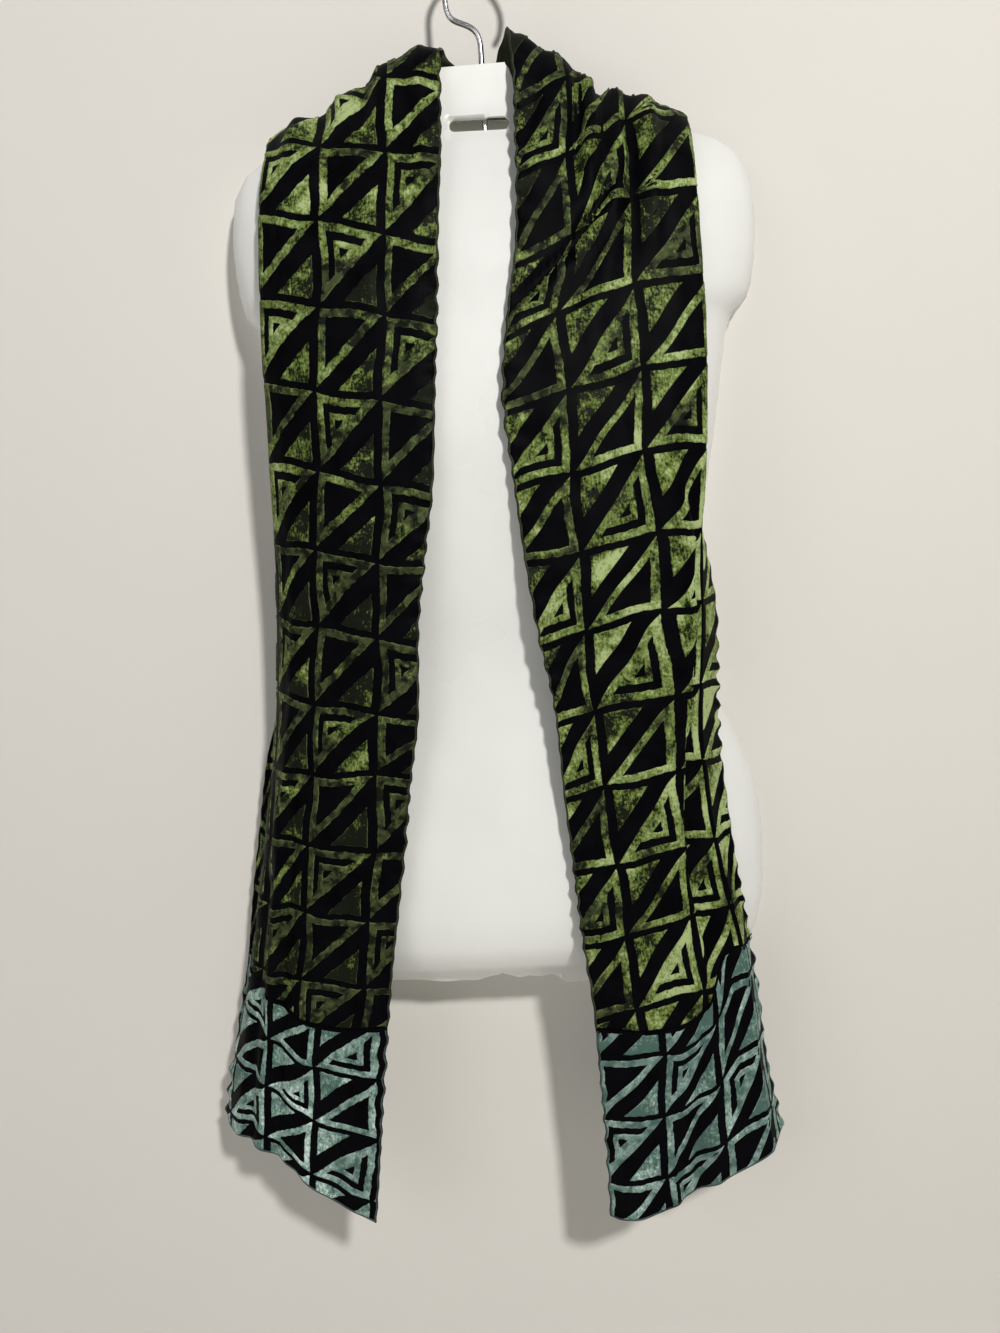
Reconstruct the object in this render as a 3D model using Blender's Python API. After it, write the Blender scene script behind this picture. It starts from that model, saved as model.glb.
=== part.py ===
"""A burnt-out velvet dupatta worn round the neck of a white hanging torso form.

Metres, +Z up, the front of the form faces -Y. The origin is the inside of the hook's top, where
it hangs; a "drop" is a distance below it. Across the cloth, 0 is the edge at the neck and
CLOTH_WIDTH the edge at the shoulder.
"""

import math

import bmesh
import bpy
import numpy as np

# --- torso form -------------------------------------------------------------------------------
LEAN = math.radians(1.5)  # the form hangs this far out of plumb, its foot towards +X
RIM_PLANE = 0.0245  # y of the form's open back, behind the hook's wire
SHELL_WALL = 0.0024
SHOULDER_HALF = 0.2095
SHOULDER_ROUND = 0.050  # height over which a shoulder rounds from its top to the front
SECTION_POWER = 2.6  # 2 is an ellipse, more is squarer
TAB_SHIFT = -0.0095  # the neck tab sits this far off the form's middle
TAB_TILT = 0.027  # and its top rises to the right by this slope
TAB_HALF = 0.0265
TAB_RETURN = 0.018  # depth at which the tab's sides end
NECK_FADE = (0.03, 0.10)  # across: where the tab's return runs out along the shoulder
NECK_NAMES = ("drop", "width_scale")
NECK = ((0.080, 0.92), (0.094, 0.92), (0.114, 1.0), (0.130, 0.95), (0.150, 1.0), (0.170, 1.0))
# The form's rows, as shares of the way from its top to its foot.
FORM_LEVELS = (0.0, 0.010, 0.025, 0.045, 0.065, 0.085, 0.106, 0.122, 0.136, 0.148, 0.175, 0.215,
               0.26, 0.31, 0.37, 0.43, 0.49, 0.55, 0.60, 0.65, 0.70, 0.75, 0.80, 0.85, 0.89,
               0.925, 0.955, 0.98, 1.0)
# Half of the form's columns, as distances from its middle at the shoulder.
FORM_COLUMNS = (0.010, 0.019, 0.0265, 0.0290, 0.034, 0.046, 0.065, 0.086, 0.110, 0.134, 0.158,
                0.179, 0.195, 0.205, SHOULDER_HALF)
FORM_RING_NAMES = ("drop", "half_width", "depth")
FORM_RINGS = (
    (0.090, SHOULDER_HALF, 0.0315),
    (0.125, SHOULDER_HALF, 0.0325),
    (0.150, SHOULDER_HALF, 0.0390),
    (0.175, SHOULDER_HALF, 0.0520),
    (0.200, SHOULDER_HALF, 0.0640),
    (0.225, 0.2085, 0.0710),
    (0.245, 0.2068, 0.0765),
    (0.262, 0.2040, 0.0800),
    (0.274, 0.2005, 0.0830),
    (0.284, 0.1935, 0.0855),
    (0.292, 0.1855, 0.0875),
    (0.305, 0.1815, 0.0900),
    (0.340, 0.1755, 0.0960),
    (0.385, 0.1685, 0.0990),
    (0.440, 0.1590, 0.0940),
    (0.500, 0.1525, 0.0820),
    (0.555, 0.1515, 0.0740),
    (0.600, 0.1660, 0.0735),
    (0.638, 0.1840, 0.0760),
    (0.676, 0.1950, 0.0790),
    (0.715, 0.1985, 0.0810),
    (0.752, 0.1978, 0.0790),
    (0.780, 0.1935, 0.0730),
    (0.800, 0.1870, 0.0600),
    (0.815, 0.1790, 0.0400),
    (0.830, 0.1740, 0.0280),
)
FORM_TOP_NAMES = ("out", "drop")
FORM_TOP = (
    (0.000, 0.0953), (0.0265, 0.0953), (0.0290, 0.099), (0.034, 0.119), (0.065, 0.1290),
    (0.086, 0.132), (0.110, 0.1358), (0.134, 0.1388), (0.158, 0.1420), (0.179, 0.1480),
    (0.195, 0.1585), (0.205, 0.1750), (SHOULDER_HALF, 0.200),
)
FORM_FOOT_NAMES = ("x", "drop")
FORM_FOOT = ((-0.210, 0.814), (-0.110, 0.816), (-0.053, 0.819), (-0.042, 0.815), (-0.030, 0.810),
             (-0.012, 0.8165), (0.007, 0.817), (0.019, 0.814), (0.034, 0.826), (0.060, 0.827),
             (0.120, 0.819), (0.210, 0.814))
SLOT_X = -0.0073
SLOT_DROP = 0.1407
SLOT_LENGTH = 0.046
SLOT_HEIGHT = 0.0100
SLOT_LIP = 0.010  # height of the hollowed lip under the slot
SLOT_LIP_DEPTH = 0.003
SLEEVE_TOP, SLEEVE_FOOT = 0.100, 0.131
SLEEVE_HALF = 0.0055
SLEEVE_FRONT, SLEEVE_BACK = -0.0055, 0.0050

# --- hook ---------------------------------------------------------------------------------------
WIRE_RADIUS = 0.00225
WIRE_CLEARANCE = 0.0003
WIRE_X = -0.0028  # the stem in the sleeve
HOOK_RADIUS = 0.0288  # to the middle of the wire
HOOK_END_ANGLE = math.radians(-38)
HOOK_STEM_NAMES = ("x", "drop")
HOOK_STEM = (
    (WIRE_X, 0.1480), (WIRE_X, 0.0830), (-0.0033, 0.0755), (-0.0049, 0.0700), (-0.0082, 0.0660),
    (-0.0125, 0.0634), (-0.0175, 0.0614), (-0.0225, 0.0594), (-0.0260, 0.0563), (-0.0279, 0.0515),
    (-0.0287, 0.0455), (-0.0288, 0.0380),
)

# --- dupatta ------------------------------------------------------------------------------------
CLOTH_WALL = 0.0016
CLOTH_WIDTH = 0.185
CLOTH_OFF_FORM = 0.009  # from the form's skin to the middle of the outer layer
LAYER = 0.0036  # middle to middle of two layers in the pleat
PLEAT_RUN = 0.013  # cloth that the pleat runs back over
TURNED_LAYER = 0.0046  # middle to middle where the outer strip is turned behind
TURN_CLOTH = 0.0025  # cloth to each side of that turn's edge
TURN_OUT = 0.0048  # how far the turn's edge stands outside the place at FAR_AT
OPEN_OUT = 0.0036  # and how far it does where the outer strip is not turned behind
MOST_FALL = 0.022  # most that an open outer strip stands back towards the wall
FORM_CLEARANCE = 0.004  # least, from the form's skin to the middle of a layer
MOST_SLANT = 2.2  # most that a layer's offset grows where the cloth slants back
SEAM_GAP = 0.0012
NEAR_AT, MIDDLE_AT, FAR_AT, EDGE_AT = 0.040, 0.085, 0.145, 0.152  # across, where sections are set
RIDGE_FORWARD = 0.016  # the cloth turns over the shoulder this far in front of the rim plane
RIDGE_ROUND = 0.055
RIDGE_GAP = 0.0012  # between the front and the neck's stretch at the shoulder's turn
RIDGE_UNDER = 0.0035  # how much lower the strip that is turned behind crosses the shoulder
FORM_SIDE_LEAST = 0.10  # share of the depth that the cloth keeps beside the form
NECK_TOP, NECK_FOOT = 0.0985, 0.1225  # drops of the cloth's two edges behind the neck
NECK_DEPTH = -0.003  # how far in front of the rim plane the neck's folds are centred
NECK_FOLDS, NECK_FOLD_HEIGHT = 1.0, 0.0045
NECK_TURNED_LAYER = 0.0055  # from the neck's cloth to the strip that is turned in
NECK_BACK_PULL = 0.050  # how strongly the cloth runs back over the shoulder, at the neck
NECK_BACK_GROWTH = 0.5  # and how much stronger it does further out
NECK_BILLOW = 0.004  # how far the outer layer lifts off the strip turned under it
NECK_TURNED_ASIDE = 0.005  # and how far that strip keeps inside it on the way round

# The space that the cloth hangs round: the form, with the waist bridged and the hips carried down.
DRAPE_NAMES = ("drop", "half_width", "depth")
DRAPE = (
    (0.060, 0.214, 0.034),
    (0.125, 0.214, 0.0400),
    (0.150, 0.214, 0.0480),
    (0.175, 0.214, 0.0600),
    (0.200, 0.214, 0.0690),
    (0.262, 0.211, 0.0830),
    (0.340, 0.201, 0.0970),
    (0.385, 0.196, 0.1000),
    (0.450, 0.193, 0.0980),
    (0.560, 0.195, 0.0925),
    (0.620, 0.201, 0.0895),
    (0.680, 0.211, 0.0865),
    (0.735, 0.221, 0.0840),
    (0.800, 0.233, 0.0820),
    (0.870, 0.250, 0.0795),
    (0.950, 0.275, 0.0770),
    (1.060, 0.300, 0.0740),
)
# Sections of a hanging side: distances from the middle (x = 0) of the neck edge, of the cloth at
# NEAR_AT, MIDDLE_AT and FAR_AT, and of the outer edge, which lies behind where it is the smaller.
# "pleat" is how far a pleat, from its crest at "crest_at" across the cloth, is folded: 1 is flat shut.
PANEL_NAMES = ("drop", "inner", "near", "middle", "crest_at", "crest", "pleat", "far", "outer")
LEFT_PANEL = (
    (0.080, 0.031, 0.069, 0.110, 0.115, 0.137, 0.0, 0.163, 0.136),
    (0.165, 0.031, 0.071, 0.111, 0.115, 0.139, 0.0, 0.164, 0.137),
    (0.234, 0.034, 0.072, 0.111, 0.115, 0.140, 0.0, 0.167, 0.139),
    (0.295, 0.036, 0.075, 0.114, 0.115, 0.142, 0.0, 0.167, 0.139),
    (0.358, 0.039, 0.078, 0.118, 0.115, 0.144, 0.0, 0.167, 0.139),
    (0.417, 0.042, 0.083, 0.122, 0.115, 0.148, 0.0, 0.168, 0.142),
    (0.473, 0.050, 0.088, 0.128, 0.115, 0.153, 0.0, 0.168, 0.149),
    (0.530, 0.057, 0.094, 0.134, 0.115, 0.157, 0.0, 0.171, 0.161),
    (0.588, 0.059, 0.100, 0.141, 0.115, 0.162, 0.0, 0.177, 0.181),
    (0.636, 0.066, 0.107, 0.147, 0.112, 0.166, 0.0, 0.182, 0.196),
    (0.695, 0.073, 0.113, 0.154, 0.110, 0.171, 0.0, 0.190, 0.205),
    (0.750, 0.081, 0.120, 0.160, 0.110, 0.177, 0.0, 0.198, 0.213),
    (0.802, 0.088, 0.127, 0.166, 0.110, 0.183, 0.0, 0.206, 0.219),
    (0.870, 0.095, 0.137, 0.172, 0.110, 0.190, 0.0, 0.213, 0.230),
    (0.935, 0.101, 0.142, 0.175, 0.110, 0.192, 0.0, 0.219, 0.239),
    (1.050, 0.112, 0.150, 0.184, 0.110, 0.200, 0.0, 0.227, 0.248),
)
RIGHT_PANEL = (
    (0.061, 0.018, 0.057, 0.095, 0.115, 0.125, 0.0, 0.153, 0.125),
    (0.117, 0.022, 0.061, 0.096, 0.115, 0.126, 0.0, 0.154, 0.126),
    (0.176, 0.022, 0.060, 0.096, 0.115, 0.125, 0.0, 0.153, 0.125),
    (0.241, 0.020, 0.060, 0.094, 0.115, 0.124, 0.0, 0.154, 0.126),
    (0.300, 0.012, 0.049, 0.095, 0.115, 0.126, 0.0, 0.156, 0.127),
    (0.358, 0.007, 0.053, 0.098, 0.116, 0.129, 0.0, 0.156, 0.127),
    (0.415, 0.013, 0.057, 0.102, 0.118, 0.136, 0.0, 0.154, 0.135),
    (0.473, 0.020, 0.062, 0.109, 0.120, 0.149, 0.7, 0.153, 0.164),
    (0.531, 0.029, 0.067, 0.114, 0.114, 0.150, 1.0, 0.153, 0.173),
    (0.592, 0.041, 0.073, 0.121, 0.106, 0.146, 1.0, 0.151, 0.173),
    (0.651, 0.046, 0.082, 0.127, 0.097, 0.139, 1.0, 0.155, 0.177),
    (0.710, 0.052, 0.091, 0.134, 0.092, 0.141, 0.8, 0.166, 0.184),
    (0.767, 0.058, 0.099, 0.141, 0.091, 0.147, 0.4, 0.180, 0.195),
    (0.826, 0.066, 0.107, 0.148, 0.090, 0.153, 0.1, 0.190, 0.204),
    (0.880, 0.070, 0.112, 0.149, 0.090, 0.153, 0.0, 0.196, 0.210),
    (0.935, 0.074, 0.112, 0.148, 0.092, 0.154, 0.0, 0.204, 0.222),
    (1.050, 0.079, 0.121, 0.162, 0.095, 0.170, 0.0, 0.222, 0.246),
)
# Drop of the line where the cloth turns over the shoulder, by distance from the middle.
RIDGE_NAMES = ("out", "drop")
LEFT_RIDGE = ((0.020, 0.0755), (0.032, 0.076), (0.048, 0.077), (0.064, 0.084), (0.076, 0.092),
              (0.088, 0.098), (0.104, 0.110), (0.129, 0.1235), (0.153, 0.1335), (0.172, 0.1455))
RIGHT_RIDGE = ((0.010, 0.061), (0.0195, 0.061), (0.028, 0.067), (0.038, 0.071), (0.0515, 0.079),
               (0.061, 0.083), (0.075, 0.0955), (0.089, 0.113), (0.106, 0.1137), (0.123, 0.117),
               (0.135, 0.1225), (0.150, 0.1275), (0.160, 0.134))
# Drops of the end panels' seams and of the hems, by distance across the cloth.
LINE_NAMES = ("across", "drop")
LEFT_SEAM = ((0.0, 0.837), (0.030, 0.839), (0.055, 0.838), (0.075, 0.835), (0.093, 0.828),
             (0.121, 0.818), (0.133, 0.811), (CLOTH_WIDTH, 0.800))
RIGHT_SEAM = ((0.0, 0.841), (0.040, 0.845), (0.061, 0.844), (0.074, 0.841), (0.088, 0.833),
              (0.102, 0.824), (0.120, 0.800), (0.130, 0.787), (0.145, 0.785), (CLOTH_WIDTH, 0.783))
LEFT_HEM = ((0.0, 0.9985), (0.016, 0.993), (0.032, 0.983), (0.052, 0.976), (0.080, 0.960),
            (0.122, 0.943), (0.136, 0.939), (CLOTH_WIDTH, 0.938))
RIGHT_HEM = ((0.0, 0.997), (0.008, 1.000), (0.023, 1.001), (0.041, 0.996), (0.059, 0.988),
             (0.085, 0.979), (0.114, 0.967), (0.135, 0.959), (0.149, 0.953), (CLOTH_WIDTH, 0.943))
# Soft folds that stand "height" out of a side, from one place across and down it to another.
FOLD_NAMES = ("from_across", "from_drop", "to_across", "to_drop", "height", "half_width")
LEFT_FOLDS = (
    (0.040, 0.070, 0.046, 0.200, 0.0035, 0.010),
    (0.078, 0.090, 0.072, 0.200, 0.0035, 0.010),
    (0.115, 0.110, 0.108, 0.210, 0.0035, 0.011),
    (0.120, 0.500, 0.122, 1.060, 0.0060, 0.009),
    (0.060, 0.560, 0.070, 0.900, 0.0040, 0.014),
    (0.020, 0.300, 0.016, 0.620, 0.0030, 0.012),
)
RIGHT_FOLDS = (
    (0.050, 0.080, 0.016, 0.200, 0.0040, 0.009),
    (0.064, 0.080, 0.044, 0.215, -0.0040, 0.006),
    (0.078, 0.080, 0.060, 0.225, 0.0060, 0.007),
    (0.099, 0.080, 0.098, 0.265, -0.0100, 0.008),
    (0.104, 0.175, 0.000, 0.305, -0.0080, 0.008),
    (0.118, 0.100, 0.060, 0.340, 0.0040, 0.012),
    (0.070, 0.860, 0.055, 1.060, 0.0050, 0.010),
    (0.088, 0.820, 0.078, 1.060, -0.0060, 0.009),
)
FRONT_ROWS, END_ROWS, NECK_ROWS = 34, 8, 22
# Columns between the places where a section is set: inner, near, middle, crest, its three further
# creases, far, before the edge, edge, after it, outer.
FRONT_COLUMNS = (3, 3, 2, 1, 2, 1, 1, 1, 1, 1, 3)
NECK_COLUMNS = (4, 4, 4, 1, 2, 1, 2, 1, 1, 1, 3)

# name: colour, roughness, metallic
FINISHES = {
    "green_velvet": ((0.075, 0.105, 0.018), 0.8, 0.0),
    "teal_velvet": ((0.20, 0.34, 0.29), 0.6, 0.0),
    "white_plastic": ((0.83, 0.83, 0.80), 0.3, 0.0),
    "hook_chrome": ((0.62, 0.62, 0.62), 0.2, 1.0),
}


def columns(names, rows):
    """The table's columns by name."""
    return dict(zip(names, np.array(rows).T))


def glide(at, knots, values):
    """Reads a smooth curve, which never overshoots, through values at rising knots.

    Both may have a row for each place that is read, or be one row for all of them.
    """
    at = np.asarray(at, float)
    knots = np.broadcast_to(knots, at.shape + np.shape(knots)[-1:])
    values = np.broadcast_to(values, knots.shape)
    steps = np.diff(knots, axis=-1)
    slopes = np.diff(values, axis=-1) / steps
    before, after = slopes[..., :-1], slopes[..., 1:]
    same_way = before * after > 0
    total = np.where(same_way, before + after, 1.0)
    inner = np.where(same_way, 2 * before * after / total, 0.0)
    bends = np.concatenate([slopes[..., :1], inner, slopes[..., -1:]], axis=-1)
    place = (knots[..., 1:-1] <= at[..., None]).sum(axis=-1)[..., None]

    def pick(table, index):
        return np.take_along_axis(table, index, axis=-1)[..., 0]

    step = pick(steps, place)
    share = np.clip((at - pick(knots, place)) / step, 0, 1)
    start, end = pick(values, place), pick(values, place + 1)
    return (
        start * (1 + 2 * share) * (1 - share) ** 2
        + end * share**2 * (3 - 2 * share)
        + step * share * (1 - share) * (pick(bends, place) * (1 - share) - pick(bends, place + 1) * share)
    )


def soft_step(share):
    share = np.clip(share, 0, 1)
    return share**2 * (3 - 2 * share)


def leaned(points):
    """Turns the upright form about the hook."""
    x, y, z = points.T
    return np.stack([x * math.cos(LEAN) - z * math.sin(LEAN), y, z * math.cos(LEAN) + x * math.sin(LEAN)], axis=1)


# --- shapes -------------------------------------------------------------------------------------
def form_point(across, up):
    """The form's skin. across runs from -1 to 1 over its columns, up from its foot to its top."""
    top, foot = columns(FORM_TOP_NAMES, FORM_TOP), columns(FORM_FOOT_NAMES, FORM_FOOT)
    rings, neck = columns(FORM_RING_NAMES, FORM_RINGS), columns(NECK_NAMES, NECK)
    steps = np.linspace(0, 1, len(FORM_COLUMNS) + 1)
    out = np.interp(np.abs(across), steps, (0.0,) + FORM_COLUMNS)
    near_neck = soft_step((0.13 - out) / 0.09)
    tilt = TAB_TILT * (TAB_SHIFT + np.sign(across) * out) * soft_step((0.05 - out) / 0.015)
    top_drop = np.interp(out, top["out"], top["drop"]) - tilt
    foot_drop = np.interp(np.sign(across) * out, foot["x"], foot["drop"])
    level = np.interp(1 - up, np.linspace(0, 1, len(FORM_LEVELS)), FORM_LEVELS)
    drop = top_drop + (foot_drop - top_drop) * level
    half_width = glide(drop, rings["drop"], rings["half_width"])
    share = out / SHOULDER_HALF
    x = np.sign(across) * half_width * share
    section = (1 - share**SECTION_POWER) ** (1 / SECTION_POWER)
    rounding = 0.001 + SHOULDER_ROUND * soft_step((out - TAB_HALF) / 0.05)
    below = np.clip((drop - top_drop) / rounding, 0, 1)
    dome = np.where(out <= TAB_HALF, 1.0, np.sqrt(1 - (1 - below) ** 2))
    least = TAB_RETURN * (1 - soft_step((out - NECK_FADE[0]) / (NECK_FADE[1] - NECK_FADE[0])))
    least = least * soft_step((0.20 - drop) / 0.05)
    depth = np.maximum(glide(drop, rings["drop"], rings["depth"]) * section * dome, least)
    lip_top = SLOT_DROP + SLOT_HEIGHT / 2
    lip = soft_step((lip_top + SLOT_LIP - drop) / SLOT_LIP) * (drop > lip_top - SLOT_HEIGHT)
    depth = depth - SLOT_LIP_DEPTH * lip * (out < SLOT_LENGTH / 2)
    x = x * (1 - (1 - np.interp(drop, neck["drop"], neck["width_scale"])) * (out < 0.04))
    x = x + TAB_SHIFT * soft_step((0.19 - drop) / 0.05) * near_neck
    return leaned(np.stack([x, RIM_PLANE - depth, -drop], axis=1))


def skin_depth(x, drop):
    """How far in front of the rim plane the form's skin is, leaving out its neck."""
    rings = columns(FORM_RING_NAMES, FORM_RINGS)
    share = np.abs(x - drop * math.sin(LEAN)) / glide(drop, rings["drop"], rings["half_width"])
    section = (1 - np.minimum(share, 1) ** SECTION_POWER) ** (1 / SECTION_POWER)
    return glide(drop, rings["drop"], rings["depth"]) * section * (drop < FORM_RINGS[-1][0])


def hang_depth(x, drop):
    """How far in front of the rim plane the cloth hangs, at a distance to the side and down."""
    drape = columns(DRAPE_NAMES, DRAPE)
    upright = x - drop * math.sin(LEAN)
    share = np.abs(upright) / glide(drop, drape["drop"], drape["half_width"])
    section = (1 - np.minimum(share, 0.999) ** SECTION_POWER) ** (1 / SECTION_POWER)
    return glide(drop, drape["drop"], drape["depth"]) * np.maximum(section, FORM_SIDE_LEAST) + CLOTH_OFF_FORM


class Side:
    """The half of the dupatta that hangs on one side of the neck."""

    def __init__(self, sign, panel, ridge, seam, hem, folds):
        self.sign = sign
        self.panel = columns(PANEL_NAMES, panel)
        self.ridge = columns(RIDGE_NAMES, ridge)
        self.lines = {"seam": columns(LINE_NAMES, seam), "hem": columns(LINE_NAMES, hem)}
        self.folds = [dict(zip(FOLD_NAMES, fold)) for fold in folds]

    def creases(self, drop):
        """Places across where the section is set, its values there, and its layers' offsets."""
        row = {name: glide(drop, self.panel["drop"], self.panel[name]) for name in PANEL_NAMES[1:]}
        crest_at, crest, pleat, far, outer = (row[name] for name in PANEL_NAMES[4:])
        zero = np.zeros_like(pleat)
        # A pleat turns back under its crest, runs inwards and turns outwards again.
        flat = (1 - pleat) * (far - crest) / (FAR_AT - crest_at)
        first = crest + LAYER * (flat + 0.5 * np.sin(math.pi * pleat))
        second = first + PLEAT_RUN * (flat - pleat)
        third = second + LAYER * (flat + 0.5 * np.sin(math.pi * pleat))
        under_crest = LAYER * np.sin(0.5 * math.pi * pleat)
        under_run = under_crest + 0.25 * PLEAT_RUN * np.sin(math.pi * pleat)
        under_all = under_run + LAYER * np.sin(0.5 * math.pi * pleat)
        # The outer strip lies turned behind, or stands back towards the wall by its own width.
        turned = soft_step((far - outer + 0.004) / 0.016)
        edge_out = TURN_OUT * turned + OPEN_OUT * (1 - turned)
        edge = far + edge_out
        strip = CLOTH_WIDTH - EDGE_AT
        falls = np.sqrt(np.maximum(strip**2 - (outer - edge) ** 2, 0))
        falls = falls - np.maximum(self.depth_at(edge, drop) - self.depth_at(outer, drop), 0)
        falls = np.clip(falls, 0, MOST_FALL) * soft_step((outer - edge + strip) / 0.012)
        layer = TURNED_LAYER * turned
        after_edge = edge + (outer - edge) * TURN_CLOTH / strip * (1 - turned) - 0.0008 * turned
        places = [zero, zero + NEAR_AT, zero + MIDDLE_AT, crest_at, crest_at + LAYER,
                  crest_at + LAYER + PLEAT_RUN, crest_at + 2 * LAYER + PLEAT_RUN, zero + FAR_AT,
                  zero + EDGE_AT - TURN_CLOTH, zero + EDGE_AT, zero + EDGE_AT + TURN_CLOTH,
                  zero + CLOTH_WIDTH]
        out = [row["inner"], row["near"], row["middle"], crest, first, second, third, far,
               far + 0.75 * edge_out, edge, after_edge, outer]
        recover = under_all * (1 - turned)
        layers = [zero, zero, zero, zero, under_crest, under_run, under_all, under_all - 0.1 * recover,
                  under_all - 0.2 * recover + 0.15 * layer, under_all - 0.3 * recover + 0.5 * layer,
                  under_all - 0.4 * recover + 0.85 * layer, under_all - 0.7 * recover + layer]
        falls = [zero] * 10 + [0.08 * falls, falls]
        return [np.stack(values, axis=-1) for values in (places, out, layers, falls)] + [turned]

    def depth_at(self, out, drop):
        return hang_depth(self.sign * out, drop)

    def section(self, across, drop):
        """Distance from the middle, the layers' offset and the fall towards the wall, at a place."""
        places, out, layers, falls, turned = self.creases(drop)
        return [glide(across, places, values) for values in (out, layers, falls)] + [turned]

    def across_at(self, share, drop, counts):
        """Where a column of the cloth's grid lies across it."""
        places = self.creases(drop)[0]
        ends = np.cumsum((0,) + counts) / sum(counts)
        return np.array([np.interp(one, ends, row) for one, row in zip(share, places)])

    def line(self, name, across):
        return glide(across, self.lines[name]["across"], self.lines[name]["drop"])

    def ridge_drop(self, across):
        """Drop of the shoulder's turn for a place across the cloth; a layer underneath turns lower."""
        out, _, _, turned = self.section(across, np.full_like(across, 0.12))
        under = RIDGE_UNDER * turned * soft_step((across - EDGE_AT + TURN_CLOTH) / (2 * TURN_CLOTH))
        return glide(out, self.ridge["out"], self.ridge["drop"]) + under

    def fold_height(self, across, drop):
        total = np.zeros_like(across)
        for fold in self.folds:
            along = (drop - fold["from_drop"]) / (fold["to_drop"] - fold["from_drop"])
            middle = fold["from_across"] + (fold["to_across"] - fold["from_across"]) * along
            fade = np.sin(math.pi * np.clip(along, 0, 1)) ** 0.7
            total += fold["height"] * fade * np.exp(-(((across - middle) / fold["half_width"]) ** 2))
        return total

    def front(self, across, drop):
        out, layers, falls, _ = self.section(across, drop)
        below = np.clip((drop - self.ridge_drop(across)) / RIDGE_ROUND, 0, 1)
        rounded = np.sqrt(1 - (1 - below) ** 2)
        slope = (self.depth_at(out + 0.001, drop) - self.depth_at(out - 0.001, drop)) / 0.002
        slant = np.minimum(np.hypot(1, slope), MOST_SLANT)
        depth = self.depth_at(out, drop) + self.fold_height(across, drop) - layers * slant - falls
        depth = np.maximum(depth, skin_depth(self.sign * out, drop) + FORM_CLEARANCE)
        depth = RIDGE_FORWARD + (depth - RIDGE_FORWARD) * rounded
        return np.stack([self.sign * out, RIM_PLANE - depth, -drop], axis=-1)

    def neck(self, across, share):
        """From the shoulder's turn, share 0, to the middle of the back of the neck, share 1."""
        start = self.front(across, self.ridge_drop(across))
        turned = soft_step((across - EDGE_AT + TURN_CLOTH) / (2 * TURN_CLOTH))
        main = np.minimum(across, 2 * EDGE_AT - across)
        wave = NECK_FOLD_HEIGHT * np.sin(2 * math.pi * NECK_FOLDS * main / EDGE_AT)
        end_drop = NECK_TOP + (NECK_FOOT - NECK_TOP) * main / EDGE_AT
        end_y = RIM_PLANE - NECK_DEPTH - wave - NECK_TURNED_LAYER * turned
        end = np.stack([0 * across, end_y, -end_drop], axis=-1)
        reach = np.abs(start[:, 0])
        back = NECK_BACK_PULL + NECK_BACK_GROWTH * reach
        leave = np.stack([-self.sign * (0.012 + 0.3 * reach), back, 0 * across], axis=-1)
        lift = NECK_BILLOW * np.exp(-(((across - 0.125) / 0.02) ** 2))
        aside = np.stack([0 * across, -NECK_TURNED_ASIDE * turned, lift], axis=-1)
        arrive = np.stack([-self.sign * (0.01 + 0.9 * reach), 0 * across, 0 * across], axis=-1)
        first = RIDGE_GAP / np.linalg.norm(leave, axis=-1)
        s = (first + (1 - first) * share)[:, None]
        return (
            start * (1 + 2 * s) * (1 - s) ** 2
            + leave * s * (1 - s) ** 2
            + end * s**2 * (3 - 2 * s)
            - arrive * s**2 * (1 - s)
            + 6.75 * aside * s * (1 - s) ** 2
        )


LEFT = Side(-1, LEFT_PANEL, LEFT_RIDGE, LEFT_SEAM, LEFT_HEM, LEFT_FOLDS)
RIGHT = Side(1, RIGHT_PANEL, RIGHT_RIDGE, RIGHT_SEAM, RIGHT_HEM, RIGHT_FOLDS)


def hanging_place(side, top_of, foot_of, spacing):
    """A placer for hanging cloth between two lines, which are drops for places across it."""

    def place(across, up):
        level = (1 - up) ** spacing
        drop = 0.1 + level * 0.8
        for _ in range(6):
            width = side.across_at(across, drop, FRONT_COLUMNS)
            drop = top_of(width) + (foot_of(width) - top_of(width)) * level
        return side.front(width, drop)

    return place


def neck_place(across, along):
    """The stretch behind the neck, from the left shoulder's turn to the right one's."""
    share = 1 - np.abs(2 * along - 1)
    drop = np.full_like(along, 0.11)
    left = LEFT.neck(LEFT.across_at(across, drop, NECK_COLUMNS), share)
    right = RIGHT.neck(RIGHT.across_at(across, drop, NECK_COLUMNS), share)
    return np.where((along < 0.5)[:, None], left, right)


# --- Blender objects ------------------------------------------------------------------------------
def finish(name):
    material = bpy.data.materials.get(name)
    if material:
        return material
    colour, roughness, metallic = FINISHES[name]
    material = bpy.data.materials.new(name)
    material.use_nodes = True
    shader = material.node_tree.nodes["Principled BSDF"]
    shader.inputs["Base Color"].default_value = (*colour, 1)
    shader.inputs["Roughness"].default_value = roughness
    shader.inputs["Metallic"].default_value = metallic
    material.diffuse_color = (*colour, 1)
    return material


def add_object(name, bm, finish_name):
    mesh = bpy.data.meshes.new(name)
    bm.to_mesh(mesh)
    bm.free()
    mesh.shade_smooth()
    obj = bpy.data.objects.new(name, mesh)
    bpy.context.scene.collection.objects.link(obj)
    mesh.materials.append(finish(finish_name))
    return obj


def grid_object(name, across_count, up_count, place, finish_name):
    """A grid whose corners are put where place says, for shares across and up it."""
    bm = bmesh.new()
    bmesh.ops.create_grid(bm, x_segments=across_count, y_segments=up_count, size=0.5)
    shares = np.array([vert.co[:2] for vert in bm.verts]) + 0.5
    shares = np.round(shares, 6)
    for vert, point in zip(bm.verts, place(shares[:, 0], shares[:, 1])):
        vert.co = point
    return add_object(name, bm, finish_name)


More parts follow.
